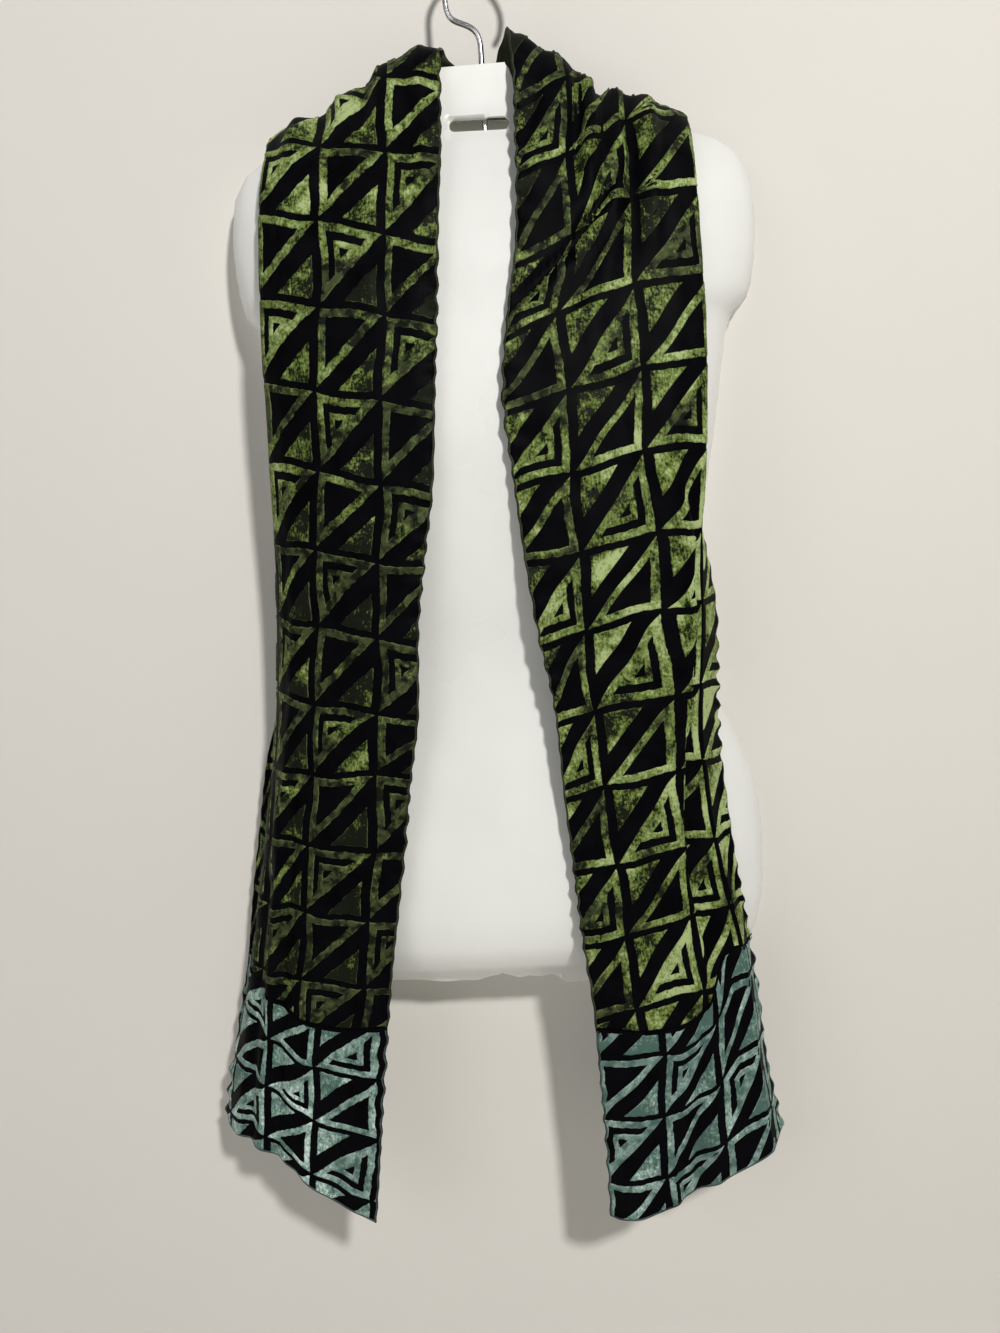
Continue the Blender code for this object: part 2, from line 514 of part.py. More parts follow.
def thicken(obj, wall, offset):
    solid = obj.modifiers.new("Wall", "SOLIDIFY")
    solid.thickness = wall
    solid.offset = offset
    return obj


def cutter(name, bm):
    obj = add_object(name, bm, "white_plastic")
    obj.hide_render = True
    obj.display_type = "WIRE"
    return obj


def boolean(obj, other, operation):
    modifier = obj.modifiers.new(other.name, "BOOLEAN")
    modifier.operation = operation
    modifier.object = other
    modifier.solver = "EXACT"


def upright(bm, x, y, drop):
    """Puts a helper's shape at its place on the upright form, then leans it with the form."""
    points = np.array([vert.co for vert in bm.verts]) + (x, y, -drop)
    for vert, point in zip(bm.verts, leaned(points)):
        vert.co = point


def box(half_x, half_y, half_z):
    bm = bmesh.new()
    bmesh.ops.create_cube(bm, size=2)
    bmesh.ops.scale(bm, verts=bm.verts, vec=(half_x, half_y, half_z))
    return bm


def add_form():

    def place(across, up):
        return form_point(2 * across - 1, up)

    skin = grid_object("torso_form", 2 * len(FORM_COLUMNS), len(FORM_LEVELS) - 1, place, "white_plastic")
    form = thicken(skin, SHELL_WALL, -1)

    sleeve = box(SLEEVE_HALF, (SLEEVE_BACK - SLEEVE_FRONT) / 2, (SLEEVE_FOOT - SLEEVE_TOP) / 2)
    upright(sleeve, WIRE_X, (SLEEVE_FRONT + SLEEVE_BACK) / 2, (SLEEVE_TOP + SLEEVE_FOOT) / 2)
    boolean(form, cutter("sleeve_block", sleeve), "UNION")

    bore = bmesh.new()
    bmesh.ops.create_cone(bore, cap_ends=True, segments=16, radius1=WIRE_RADIUS + WIRE_CLEARANCE,
                          radius2=WIRE_RADIUS + WIRE_CLEARANCE, depth=0.08)
    upright(bore, WIRE_X, 0, (SLEEVE_TOP + SLEEVE_FOOT) / 2)
    boolean(form, cutter("sleeve_bore", bore), "DIFFERENCE")

    slot = box(SLOT_LENGTH / 2, 0.012, SLOT_HEIGHT / 2)
    ends = [edge for edge in slot.edges if abs(edge.verts[0].co.y - edge.verts[1].co.y) > 0.01]
    bmesh.ops.bevel(slot, geom=ends, offset=SLOT_HEIGHT * 0.42, segments=4, profile=0.5,
                    affect="EDGES", material=-1)
    upright(slot, SLOT_X, -0.0055, SLOT_DROP)
    boolean(form, cutter("neck_slot", slot), "DIFFERENCE")
    return form


def add_hook():
    """The wire: up from the sleeve, aside, and round an open loop over the origin."""
    stem = [(x, 0.0, -drop) for x, drop in HOOK_STEM]
    middle = WIRE_RADIUS - HOOK_RADIUS
    turns = np.linspace(math.pi, HOOK_END_ANGLE, 22)
    loop = [(HOOK_RADIUS * math.cos(a), 0.0, middle + HOOK_RADIUS * math.sin(a)) for a in turns]
    points = leaned(np.array(stem + loop))
    curve = bpy.data.curves.new("wire_hook", "CURVE")
    curve.dimensions = "3D"
    spline = curve.splines.new("POLY")
    spline.points.add(len(points) - 1)
    for target, point in zip(spline.points, points):
        target.co = (*point, 1)
    curve.bevel_depth = WIRE_RADIUS
    curve.bevel_resolution = 2
    curve.use_fill_caps = True
    curve.materials.append(finish("hook_chrome"))
    obj = bpy.data.objects.new("wire_hook", curve)
    bpy.context.scene.collection.objects.link(obj)


def add_dupatta():
    for side, word in ((LEFT, "left"), (RIGHT, "right")):
        place = hanging_place(side, side.ridge_drop, lambda across: side.line("seam", across) - SEAM_GAP / 2, 1.45)
        green = grid_object("green_front_" + word, sum(FRONT_COLUMNS), FRONT_ROWS, place, "green_velvet")
        thicken(green, CLOTH_WALL, 0)
        place = hanging_place(side, lambda across: side.line("seam", across) + SEAM_GAP / 2,
                              lambda across: side.line("hem", across), 1.0)
        teal = grid_object("teal_end_" + word, sum(FRONT_COLUMNS), END_ROWS, place, "teal_velvet")
        thicken(teal, CLOTH_WALL, 0)
    neck = grid_object("green_neck", sum(NECK_COLUMNS), NECK_ROWS, neck_place, "green_velvet")
    thicken(neck, CLOTH_WALL, 0)


for old in list(bpy.data.objects):
    bpy.data.objects.remove(old)
add_form()
add_hook()
add_dupatta()
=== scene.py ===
"""A burnt-out velvet dupatta worn round the neck of a white hanging torso form, in metres.

The green length of the dupatta runs from its left end up over the left shoulder, behind the neck
and down the right side. Places on it are given across it, from the edge at the neck, and by a
"drop" below the hook, which past the shoulder's turn goes on as a length towards the neck.
"""

import math

import bmesh
import bpy
import numpy as np
from mathutils import Matrix, Vector


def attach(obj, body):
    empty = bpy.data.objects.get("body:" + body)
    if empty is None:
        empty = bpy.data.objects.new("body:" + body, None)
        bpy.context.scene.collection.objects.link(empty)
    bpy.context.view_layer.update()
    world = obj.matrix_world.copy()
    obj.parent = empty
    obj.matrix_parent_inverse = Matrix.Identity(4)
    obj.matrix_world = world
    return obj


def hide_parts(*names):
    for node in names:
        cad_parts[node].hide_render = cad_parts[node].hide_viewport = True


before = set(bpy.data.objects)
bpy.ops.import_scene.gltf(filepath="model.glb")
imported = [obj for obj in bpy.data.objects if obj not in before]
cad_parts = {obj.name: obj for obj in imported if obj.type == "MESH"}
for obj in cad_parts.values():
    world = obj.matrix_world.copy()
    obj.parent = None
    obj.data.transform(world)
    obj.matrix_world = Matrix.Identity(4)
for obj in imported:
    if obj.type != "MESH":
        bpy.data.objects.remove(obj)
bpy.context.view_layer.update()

# --- camera ---------------------------------------------------------------------------------------
CAMERA_PLACE = (0.00157, -0.8755, -0.48511)
CAMERA_DOWN = math.radians(5)
CAMERA_ROLL = math.radians(-1.5)
LENS_PER_WIDTH = 1.08  # lens length in widths of the picture
PICTURE_SHAPE = 1000 / 1333  # its width in heights
SENSOR = 36
NEAREST, FURTHEST = 0.01, 50


def add_camera():
    data = bpy.data.cameras.new("camera")
    data.sensor_width = SENSOR
    data.lens = SENSOR * LENS_PER_WIDTH * PICTURE_SHAPE
    data.clip_start, data.clip_end = NEAREST, FURTHEST
    camera = bpy.data.objects.new("camera", data)
    bpy.context.scene.collection.objects.link(camera)
    turn = Matrix.Rotation(math.radians(90) - CAMERA_DOWN, 4, "X") @ Matrix.Rotation(CAMERA_ROLL, 4, "Z")
    camera.matrix_world = Matrix.Translation(CAMERA_PLACE) @ turn
    bpy.context.scene.camera = camera


add_camera()

# --- torso form -------------------------------------------------------------------------------
LEAN = math.radians(1.5)  # the form hangs this far out of plumb, its foot towards +X
RIM_PLANE = 0.0245  # y of the form's open back, behind the hook's wire
SHELL_WALL = 0.0024
FORM_ACROSS, FORM_UP = 120, 150  # steps across and up the form's skin
SHOULDER_HALF = 0.2095
SHOULDER_ROUND = 0.050  # height over which a shoulder rounds from its top to the front
TAB_ROUND = 0.001  # and over which the tab does
ROUND_RUN = 0.05  # distance over which the one grows to the other
SECTION_POWER = 2.6  # 2 is an ellipse, more is squarer
TAB_SHIFT = -0.0095  # the neck tab sits this far off the form's middle
TAB_TILT = 0.027  # and its top rises to the right by this slope
TILT_FADE, SHIFT_FADE = (0.035, 0.050), (0.04, 0.13)  # distances from the middle at which both run out
SHIFT_FOOT, RETURN_FOOT = (0.14, 0.19), (0.15, 0.20)  # drops at which the shift and the return end
TAB_HALF = 0.0265
TAB_RETURN = 0.018  # depth at which the tab's sides end
NECK_FADE = (0.03, 0.10)  # across: where the tab's return runs out along the shoulder
NECK_HALF = 0.04  # the neck's own width scale holds this far from the middle
RIM_WAVE, RIM_WAVE_REACH = 0.0006, 0.006  # height of the trimmed edge's crinkle, and how far in it runs
FORM_HEIGHT = 0.72
NECK_NAMES = ("drop", "width_scale")
NECK = ((0.080, 0.92), (0.094, 0.92), (0.114, 1.0), (0.130, 0.95), (0.150, 1.0), (0.170, 1.0))
# The form's rows, as shares of the way from its top to its foot.
FORM_LEVELS = (0.0, 0.010, 0.025, 0.045, 0.065, 0.085, 0.106, 0.122, 0.136, 0.148, 0.175, 0.215,
               0.26, 0.31, 0.37, 0.43, 0.49, 0.55, 0.60, 0.65, 0.70, 0.75, 0.80, 0.85, 0.89,
               0.925, 0.955, 0.98, 1.0)
# Half of the form's columns, as distances from its middle at the shoulder.
FORM_COLUMNS = (0.010, 0.019, 0.0265, 0.0290, 0.034, 0.046, 0.065, 0.086, 0.110, 0.134, 0.158,
                0.179, 0.195, 0.205, SHOULDER_HALF)
FORM_RING_NAMES = ("drop", "half_width", "depth")
FORM_RINGS = (
    (0.090, SHOULDER_HALF, 0.0315),
    (0.125, SHOULDER_HALF, 0.0325),
    (0.150, SHOULDER_HALF, 0.0390),
    (0.175, SHOULDER_HALF, 0.0520),
    (0.200, SHOULDER_HALF, 0.0640),
    (0.225, 0.2085, 0.0710),
    (0.245, 0.2068, 0.0765),
    (0.262, 0.2040, 0.0800),
    (0.274, 0.2005, 0.0830),
    (0.284, 0.1935, 0.0855),
    (0.292, 0.1855, 0.0875),
    (0.305, 0.1815, 0.0900),
    (0.340, 0.1755, 0.0960),
    (0.385, 0.1685, 0.0990),
    (0.440, 0.1590, 0.0940),
    (0.500, 0.1525, 0.0820),
    (0.555, 0.1515, 0.0740),
    (0.600, 0.1660, 0.0735),
    (0.638, 0.1840, 0.0760),
    (0.676, 0.1950, 0.0790),
    (0.715, 0.1985, 0.0810),
    (0.752, 0.1978, 0.0790),
    (0.780, 0.1935, 0.0730),
    (0.800, 0.1870, 0.0600),
    (0.815, 0.1790, 0.0400),
    (0.830, 0.1740, 0.0280),
)
FORM_TOP_NAMES = ("out", "drop")
FORM_TOP = (
    (0.000, 0.0953), (0.0265, 0.0953), (0.0290, 0.099), (0.034, 0.119), (0.065, 0.1290),
    (0.086, 0.132), (0.110, 0.1358), (0.134, 0.1388), (0.158, 0.1420), (0.179, 0.1480),
    (0.195, 0.1585), (0.205, 0.1750), (SHOULDER_HALF, 0.200),
)
FORM_FOOT_NAMES = ("x", "drop")
FORM_FOOT = ((-0.210, 0.814), (-0.110, 0.816), (-0.053, 0.819), (-0.042, 0.815), (-0.030, 0.810),
             (-0.012, 0.8165), (0.007, 0.817), (0.019, 0.814), (0.034, 0.826), (0.060, 0.827),
             (0.120, 0.819), (0.210, 0.814))
SLOT_X = -0.0073
SLOT_DROP = 0.1407
SLOT_LENGTH = 0.046
SLOT_HEIGHT = 0.0100
SLOT_ROUND = 0.42  # share of its height that its ends are rounded by
SLOT_LIP = 0.010  # height of the hollowed lip under the slot
SLOT_LIP_DEPTH = 0.003
CUT_DEPTH, CUT_Y = 0.024, -0.0055  # of the cutter for the slot
SLEEVE_TOP, SLEEVE_FOOT = 0.100, 0.131
SLEEVE_HALF = 0.0055
SLEEVE_FRONT, SLEEVE_BACK = -0.0055, 0.0050
SLEEVE_ROUND = 0.0012
BORE_LENGTH = 0.08

# --- hook ---------------------------------------------------------------------------------------
WIRE_RADIUS = 0.00225
WIRE_CLEARANCE = 0.0003
WIRE_X = -0.0028  # the stem in the sleeve
HOOK_RADIUS = 0.0288  # to the middle of the wire
HOOK_END_ANGLE = math.radians(-38)
HOOK_STEM_NAMES = ("x", "drop")
HOOK_STEM = (
    (WIRE_X, 0.1480), (WIRE_X, 0.0830), (-0.0033, 0.0755), (-0.0049, 0.0700), (-0.0082, 0.0660),
    (-0.0125, 0.0634), (-0.0175, 0.0614), (-0.0225, 0.0594), (-0.0260, 0.0563), (-0.0279, 0.0515),
    (-0.0287, 0.0455), (-0.0288, 0.0380),
)

# --- dupatta ------------------------------------------------------------------------------------
CLOTH_WIDTH = 0.185
CLOTH_OFF_FORM = 0.009  # from the form's skin to the middle of the outer layer
LAYER = 0.0036  # middle to middle of two layers in the pleat
PLEAT_RUN = 0.013  # cloth that the pleat runs back over
TURNED_LAYER = 0.0046  # middle to middle where the outer strip is turned behind
TURN_CLOTH = 0.0025  # cloth to each side of that turn's edge
TURN_OUT = 0.0048  # how far the turn's edge stands outside the place at FAR_AT
OPEN_OUT = 0.0036  # and how far it does where the outer strip is not turned behind
MOST_FALL = 0.022  # most that an open outer strip stands back towards the wall
TURN_FROM, TURN_RUN, FALL_RUN = 0.004, 0.016, 0.012  # distances over which a strip turns or falls back
TURN_LEAD, TURN_TUCK = 0.75, 0.0008  # share of the way to the edge just before it, and the tuck after it
FALL_START = 0.08  # share of its fall that an open strip has just after the edge
# From FAR_AT outwards: the pleat's depth that an open strip wins back, and the turned layer reached.
WON_BACK, TURNED_UNDER = (0.1, 0.2, 0.3, 0.4, 0.7), (0.0, 0.15, 0.5, 0.85, 1.0)
FORM_CLEARANCE = 0.004  # least, from the form's skin to the middle of a layer
MOST_SLANT = 2.2  # most that a layer's offset grows where the cloth slants back
NEAR_AT, MIDDLE_AT, FAR_AT, EDGE_AT = 0.040, 0.085, 0.145, 0.152  # across, where sections are set
RIDGE_FORWARD = 0.016  # the cloth turns over the shoulder this far in front of the rim plane
RIDGE_ROUND = 0.055
RIDGE_GAP = 0.0012  # between the front and the neck's stretch at the shoulder's turn
RIDGE_UNDER = 0.0035  # how much lower the strip that is turned behind crosses the shoulder
RIDGE_AT = 0.12  # drop of the section that crosses it
FORM_SIDE_LEAST = 0.10  # share of the depth that the cloth keeps beside the form
NECK_TOP, NECK_FOOT = 0.0985, 0.1225  # drops of the cloth's two edges behind the neck
NECK_DEPTH = -0.003  # how far in front of the rim plane the neck's folds are centred
NECK_FOLDS, NECK_FOLD_HEIGHT = 1.0, 0.0045
NECK_TURNED_LAYER = 0.0055  # from the neck's cloth to the strip that is turned in
NECK_BACK_PULL = 0.050  # how strongly the cloth runs back over the shoulder, at the neck
NECK_BACK_GROWTH = 0.5  # and how much stronger it does further out
NECK_LEAVE, NECK_ARRIVE = (0.012, 0.3), (0.010, 0.9)  # pulls towards the middle: least, and by reach
NECK_BILLOW = 0.004  # how far the outer layer lifts off the strip turned under it
BILLOW_AT, BILLOW_HALF = 0.125, 0.02  # across
NECK_TURNED_ASIDE = 0.005  # and how far that strip keeps inside it on the way round

# The space that the cloth hangs round: the form, with the waist bridged and the hips carried down.
DRAPE_NAMES = ("drop", "half_width", "depth")
DRAPE = (
    (0.060, 0.214, 0.034),
    (0.125, 0.214, 0.0400),
    (0.150, 0.214, 0.0480),
    (0.175, 0.214, 0.0600),
    (0.200, 0.214, 0.0690),
    (0.262, 0.211, 0.0830),
    (0.340, 0.201, 0.0970),
    (0.385, 0.196, 0.1000),
    (0.450, 0.193, 0.0980),
    (0.560, 0.195, 0.0925),
    (0.620, 0.201, 0.0895),
    (0.680, 0.211, 0.0865),
    (0.735, 0.221, 0.0840),
    (0.800, 0.233, 0.0820),
    (0.870, 0.250, 0.0795),
    (0.950, 0.275, 0.0770),
    (1.060, 0.300, 0.0740),
)
# Sections of a hanging side: distances from the middle (x = 0) of the neck edge, of the cloth at
# NEAR_AT, MIDDLE_AT and FAR_AT, and of the outer edge, which lies behind where it is the smaller.
# "pleat" is how far a pleat, from its crest at "crest_at" across the cloth, is folded: 1 is flat shut.
PANEL_NAMES = ("drop", "inner", "near", "middle", "crest_at", "crest", "pleat", "far", "outer")
LEFT_PANEL = (
    (0.080, 0.031, 0.069, 0.110, 0.115, 0.137, 0.0, 0.163, 0.136),
    (0.165, 0.031, 0.071, 0.111, 0.115, 0.139, 0.0, 0.164, 0.137),
    (0.234, 0.034, 0.072, 0.111, 0.115, 0.140, 0.0, 0.167, 0.139),
    (0.295, 0.036, 0.075, 0.114, 0.115, 0.142, 0.0, 0.167, 0.139),
    (0.358, 0.039, 0.078, 0.118, 0.115, 0.144, 0.0, 0.167, 0.139),
    (0.417, 0.042, 0.083, 0.122, 0.115, 0.148, 0.0, 0.168, 0.142),
    (0.473, 0.050, 0.088, 0.128, 0.115, 0.153, 0.0, 0.168, 0.149),
    (0.530, 0.057, 0.094, 0.134, 0.115, 0.157, 0.0, 0.171, 0.161),
    (0.588, 0.059, 0.100, 0.141, 0.115, 0.162, 0.0, 0.177, 0.181),
    (0.636, 0.066, 0.107, 0.147, 0.112, 0.166, 0.0, 0.182, 0.196),
    (0.695, 0.073, 0.113, 0.154, 0.110, 0.171, 0.0, 0.190, 0.205),
    (0.750, 0.081, 0.120, 0.160, 0.110, 0.177, 0.0, 0.198, 0.213),
    (0.802, 0.088, 0.127, 0.166, 0.110, 0.183, 0.0, 0.206, 0.219),
    (0.870, 0.095, 0.137, 0.172, 0.110, 0.190, 0.0, 0.213, 0.230),
    (0.935, 0.101, 0.142, 0.175, 0.110, 0.192, 0.0, 0.219, 0.239),
    (1.050, 0.112, 0.150, 0.184, 0.110, 0.200, 0.0, 0.227, 0.248),
)
RIGHT_PANEL = (
    (0.061, 0.018, 0.057, 0.095, 0.115, 0.125, 0.0, 0.153, 0.125),
    (0.117, 0.022, 0.061, 0.096, 0.115, 0.126, 0.0, 0.154, 0.126),
    (0.176, 0.022, 0.060, 0.096, 0.115, 0.125, 0.0, 0.153, 0.125),
    (0.241, 0.020, 0.060, 0.094, 0.115, 0.124, 0.0, 0.154, 0.126),
    (0.300, 0.012, 0.049, 0.095, 0.115, 0.126, 0.0, 0.156, 0.127),
    (0.358, 0.007, 0.053, 0.098, 0.116, 0.129, 0.0, 0.156, 0.127),
    (0.415, 0.013, 0.057, 0.102, 0.118, 0.136, 0.0, 0.154, 0.135),
    (0.473, 0.020, 0.062, 0.109, 0.120, 0.149, 0.7, 0.153, 0.164),
    (0.531, 0.029, 0.067, 0.114, 0.114, 0.150, 1.0, 0.153, 0.173),
    (0.592, 0.041, 0.073, 0.121, 0.106, 0.146, 1.0, 0.151, 0.173),
    (0.651, 0.046, 0.082, 0.127, 0.097, 0.139, 1.0, 0.155, 0.177),
    (0.710, 0.052, 0.091, 0.134, 0.092, 0.141, 0.8, 0.166, 0.184),
    (0.767, 0.058, 0.099, 0.141, 0.091, 0.147, 0.4, 0.180, 0.195),
    (0.826, 0.066, 0.107, 0.148, 0.090, 0.153, 0.1, 0.190, 0.204),
    (0.880, 0.070, 0.112, 0.149, 0.090, 0.153, 0.0, 0.196, 0.210),
    (0.935, 0.074, 0.112, 0.148, 0.092, 0.154, 0.0, 0.204, 0.222),
    (1.050, 0.079, 0.121, 0.162, 0.095, 0.170, 0.0, 0.222, 0.246),
)
# Drop of the line where the cloth turns over the shoulder, by distance from the middle.
RIDGE_NAMES = ("out", "drop")
LEFT_RIDGE = ((0.020, 0.0755), (0.032, 0.076), (0.048, 0.077), (0.064, 0.084), (0.076, 0.092),
              (0.088, 0.098), (0.104, 0.110), (0.129, 0.1235), (0.153, 0.1335), (0.172, 0.1455))
RIGHT_RIDGE = ((0.010, 0.061), (0.0195, 0.061), (0.028, 0.067), (0.038, 0.071), (0.0515, 0.079),
               (0.061, 0.083), (0.075, 0.0955), (0.089, 0.113), (0.106, 0.1137), (0.123, 0.117),
               (0.135, 0.1225), (0.150, 0.1275), (0.160, 0.134))
# Drops of the end panels' seams and of the hems, by distance across the cloth.
LINE_NAMES = ("across", "drop")
LEFT_SEAM = ((0.0, 0.837), (0.030, 0.839), (0.055, 0.838), (0.075, 0.835), (0.093, 0.828),
             (0.121, 0.818), (0.133, 0.811), (CLOTH_WIDTH, 0.800))
RIGHT_SEAM = ((0.0, 0.841), (0.040, 0.845), (0.061, 0.844), (0.074, 0.841), (0.088, 0.833),
              (0.102, 0.824), (0.120, 0.800), (0.130, 0.787), (0.145, 0.785), (CLOTH_WIDTH, 0.783))
LEFT_HEM = ((0.0, 0.9985), (0.016, 0.993), (0.032, 0.983), (0.052, 0.976), (0.080, 0.960),
            (0.122, 0.943), (0.136, 0.939), (CLOTH_WIDTH, 0.938))
RIGHT_HEM = ((0.0, 0.997), (0.008, 1.000), (0.023, 1.001), (0.041, 0.996), (0.059, 0.988),
             (0.085, 0.979), (0.114, 0.967), (0.135, 0.959), (0.149, 0.953), (CLOTH_WIDTH, 0.943))
# Soft folds that stand "height" out of a side, from one place across and down it to another.
FOLD_NAMES = ("from_across", "from_drop", "to_across", "to_drop", "height", "half_width")
LEFT_FOLDS = (
    (0.040, 0.070, 0.046, 0.200, 0.0035, 0.010),
    (0.078, 0.090, 0.072, 0.200, 0.0035, 0.010),
    (0.115, 0.110, 0.108, 0.210, 0.0035, 0.011),
    (0.120, 0.500, 0.122, 1.060, 0.0060, 0.009),
    (0.060, 0.560, 0.070, 0.900, 0.0040, 0.014),
    (0.020, 0.300, 0.016, 0.620, 0.0030, 0.012),
)
RIGHT_FOLDS = (
    (0.050, 0.080, 0.016, 0.200, 0.0040, 0.009),
    (0.064, 0.080, 0.044, 0.215, -0.0040, 0.006),
    (0.078, 0.080, 0.060, 0.225, 0.0060, 0.007),
    (0.099, 0.080, 0.098, 0.265, -0.0100, 0.008),
    (0.104, 0.175, 0.000, 0.305, -0.0080, 0.008),
    (0.118, 0.100, 0.060, 0.340, 0.0040, 0.012),
    (0.070, 0.860, 0.055, 1.060, 0.0050, 0.010),
    (0.088, 0.820, 0.078, 1.060, -0.0060, 0.009),
)


CURVE_STEPS, SECTION_STEPS = 2400, 2000
SLOPE_STEP = 0.001


def columns(names, rows):
    """The table's columns by name."""
    return dict(zip(names, np.array(rows).T))


def glide(at, knots, values):
    """Reads a smooth curve, which never overshoots, through values at rising knots.

    Both may have a row for each place that is read, or be one row for all of them.
    """
    at = np.asarray(at, float)
    knots = np.broadcast_to(knots, at.shape + np.shape(knots)[-1:])
    values = np.broadcast_to(values, knots.shape)
    steps = np.diff(knots, axis=-1)
    slopes = np.diff(values, axis=-1) / steps
    before, after = slopes[..., :-1], slopes[..., 1:]
    same_way = before * after > 0
    total = np.where(same_way, before + after, 1.0)
    inner = np.where(same_way, 2 * before * after / total, 0.0)
    bends = np.concatenate([slopes[..., :1], inner, slopes[..., -1:]], axis=-1)
    place = (knots[..., 1:-1] <= at[..., None]).sum(axis=-1)[..., None]

    def pick(table, index):
        return np.take_along_axis(table, index, axis=-1)[..., 0]

    step = pick(steps, place)
    share = np.clip((at - pick(knots, place)) / step, 0, 1)
    start, end = pick(values, place), pick(values, place + 1)
    return (
        start * (1 + 2 * share) * (1 - share) ** 2
        + end * share**2 * (3 - 2 * share)
        + step * share * (1 - share) * (pick(bends, place) * (1 - share) - pick(bends, place + 1) * share)
    )


def fine_curves(names, rows):
    """The table's columns after the first, as smooth curves that are read by their place in it."""
    table = columns(names, rows)
    knots = table[names[0]]
    at = np.linspace(knots[0], knots[-1], CURVE_STEPS)

    def curve(values):
        fine = glide(at, knots, values)
        return lambda place: np.interp(place, at, fine)

    return {name: curve(table[name]) for name in names[1:]}


def soft_step(share):
    share = np.clip(share, 0, 1)
    return share**2 * (3 - 2 * share)


def fading(at, run):
    """1 up to the run's first place, and 0 from its second."""
    return soft_step((run[1] - at) / (run[1] - run[0]))


def leaned(points):
    """Turns the upright form about the hook."""
    x, y, z = points.T
    c, s = math.cos(LEAN), math.sin(LEAN)
    return np.stack([x * c - z * s, y, z * c + x * s], axis=1)


def folds_height(folds, across, drop):
    """How far a table's soft folds stand out at a place."""
    total = np.zeros_like(across)
    for fold in folds:
        along = (drop - fold["from_drop"]) / (fold["to_drop"] - fold["from_drop"])
        middle = fold["from_across"] + (fold["to_across"] - fold["from_across"]) * along
        fade = np.sin(math.pi * np.clip(along, 0, 1)) ** 0.7
        total += fold["height"] * fade * np.exp(-(((across - middle) / fold["half_width"]) ** 2))
    return total


# --- shapes -------------------------------------------------------------------------------------
RINGS, HANG = fine_curves(FORM_RING_NAMES, FORM_RINGS), fine_curves(DRAPE_NAMES, DRAPE)


def form_point(across, up):
    """The form's skin. across runs from -1 to 1 over its columns, up from its foot to its top."""
    top, foot = columns(FORM_TOP_NAMES, FORM_TOP), columns(FORM_FOOT_NAMES, FORM_FOOT)
    neck = columns(NECK_NAMES, NECK)
    steps = np.linspace(0, 1, len(FORM_COLUMNS) + 1)
    out = np.interp(np.abs(across), steps, (0.0,) + FORM_COLUMNS)
    tilt = TAB_TILT * (TAB_SHIFT + np.sign(across) * out) * fading(out, TILT_FADE)
    top_drop = np.interp(out, top["out"], top["drop"]) - tilt
    foot_drop = np.interp(np.sign(across) * out, foot["x"], foot["drop"])
    level = np.interp(1 - up, np.linspace(0, 1, len(FORM_LEVELS)), FORM_LEVELS)
    drop = top_drop + (foot_drop - top_drop) * level
    half_width = RINGS["half_width"](drop)
    share = out / SHOULDER_HALF
    x = np.sign(across) * half_width * share
    section = (1 - share**SECTION_POWER) ** (1 / SECTION_POWER)
    rounding = TAB_ROUND + SHOULDER_ROUND * soft_step((out - TAB_HALF) / ROUND_RUN)
    below = np.clip((drop - top_drop) / rounding, 0, 1)
    dome = np.where(out <= TAB_HALF, 1.0, np.sqrt(1 - (1 - below) ** 2))
    least = TAB_RETURN * fading(out, NECK_FADE) * fading(drop, RETURN_FOOT)
    depth = np.maximum(RINGS["depth"](drop) * section * dome, least)
    lip_top = SLOT_DROP + SLOT_HEIGHT / 2
    lip = soft_step((lip_top + SLOT_LIP - drop) / SLOT_LIP) * (drop > lip_top - SLOT_HEIGHT)
    depth = depth - SLOT_LIP_DEPTH * lip * (out < SLOT_LENGTH / 2)
    x = x * (1 - (1 - np.interp(drop, neck["drop"], neck["width_scale"])) * (out < NECK_HALF))
    x = x + TAB_SHIFT * fading(drop, SHIFT_FOOT) * fading(out, SHIFT_FADE)
    return leaned(np.stack([x, RIM_PLANE - depth, -drop], axis=1))


def skin_depth(x, drop):
    """How far in front of the rim plane the form's skin is, leaving out its neck."""
    share = np.abs(x - drop * math.sin(LEAN)) / RINGS["half_width"](drop)
    section = (1 - np.minimum(share, 1) ** SECTION_POWER) ** (1 / SECTION_POWER)
    return RINGS["depth"](drop) * section * (drop < FORM_RINGS[-1][0])


def hang_depth(x, drop):
    """How far in front of the rim plane the cloth hangs, at a distance to the side and down."""
    share = np.abs(x - drop * math.sin(LEAN)) / HANG["half_width"](drop)
    section = (1 - np.minimum(share, 0.999) ** SECTION_POWER) ** (1 / SECTION_POWER)
    return HANG["depth"](drop) * np.maximum(section, FORM_SIDE_LEAST) + CLOTH_OFF_FORM


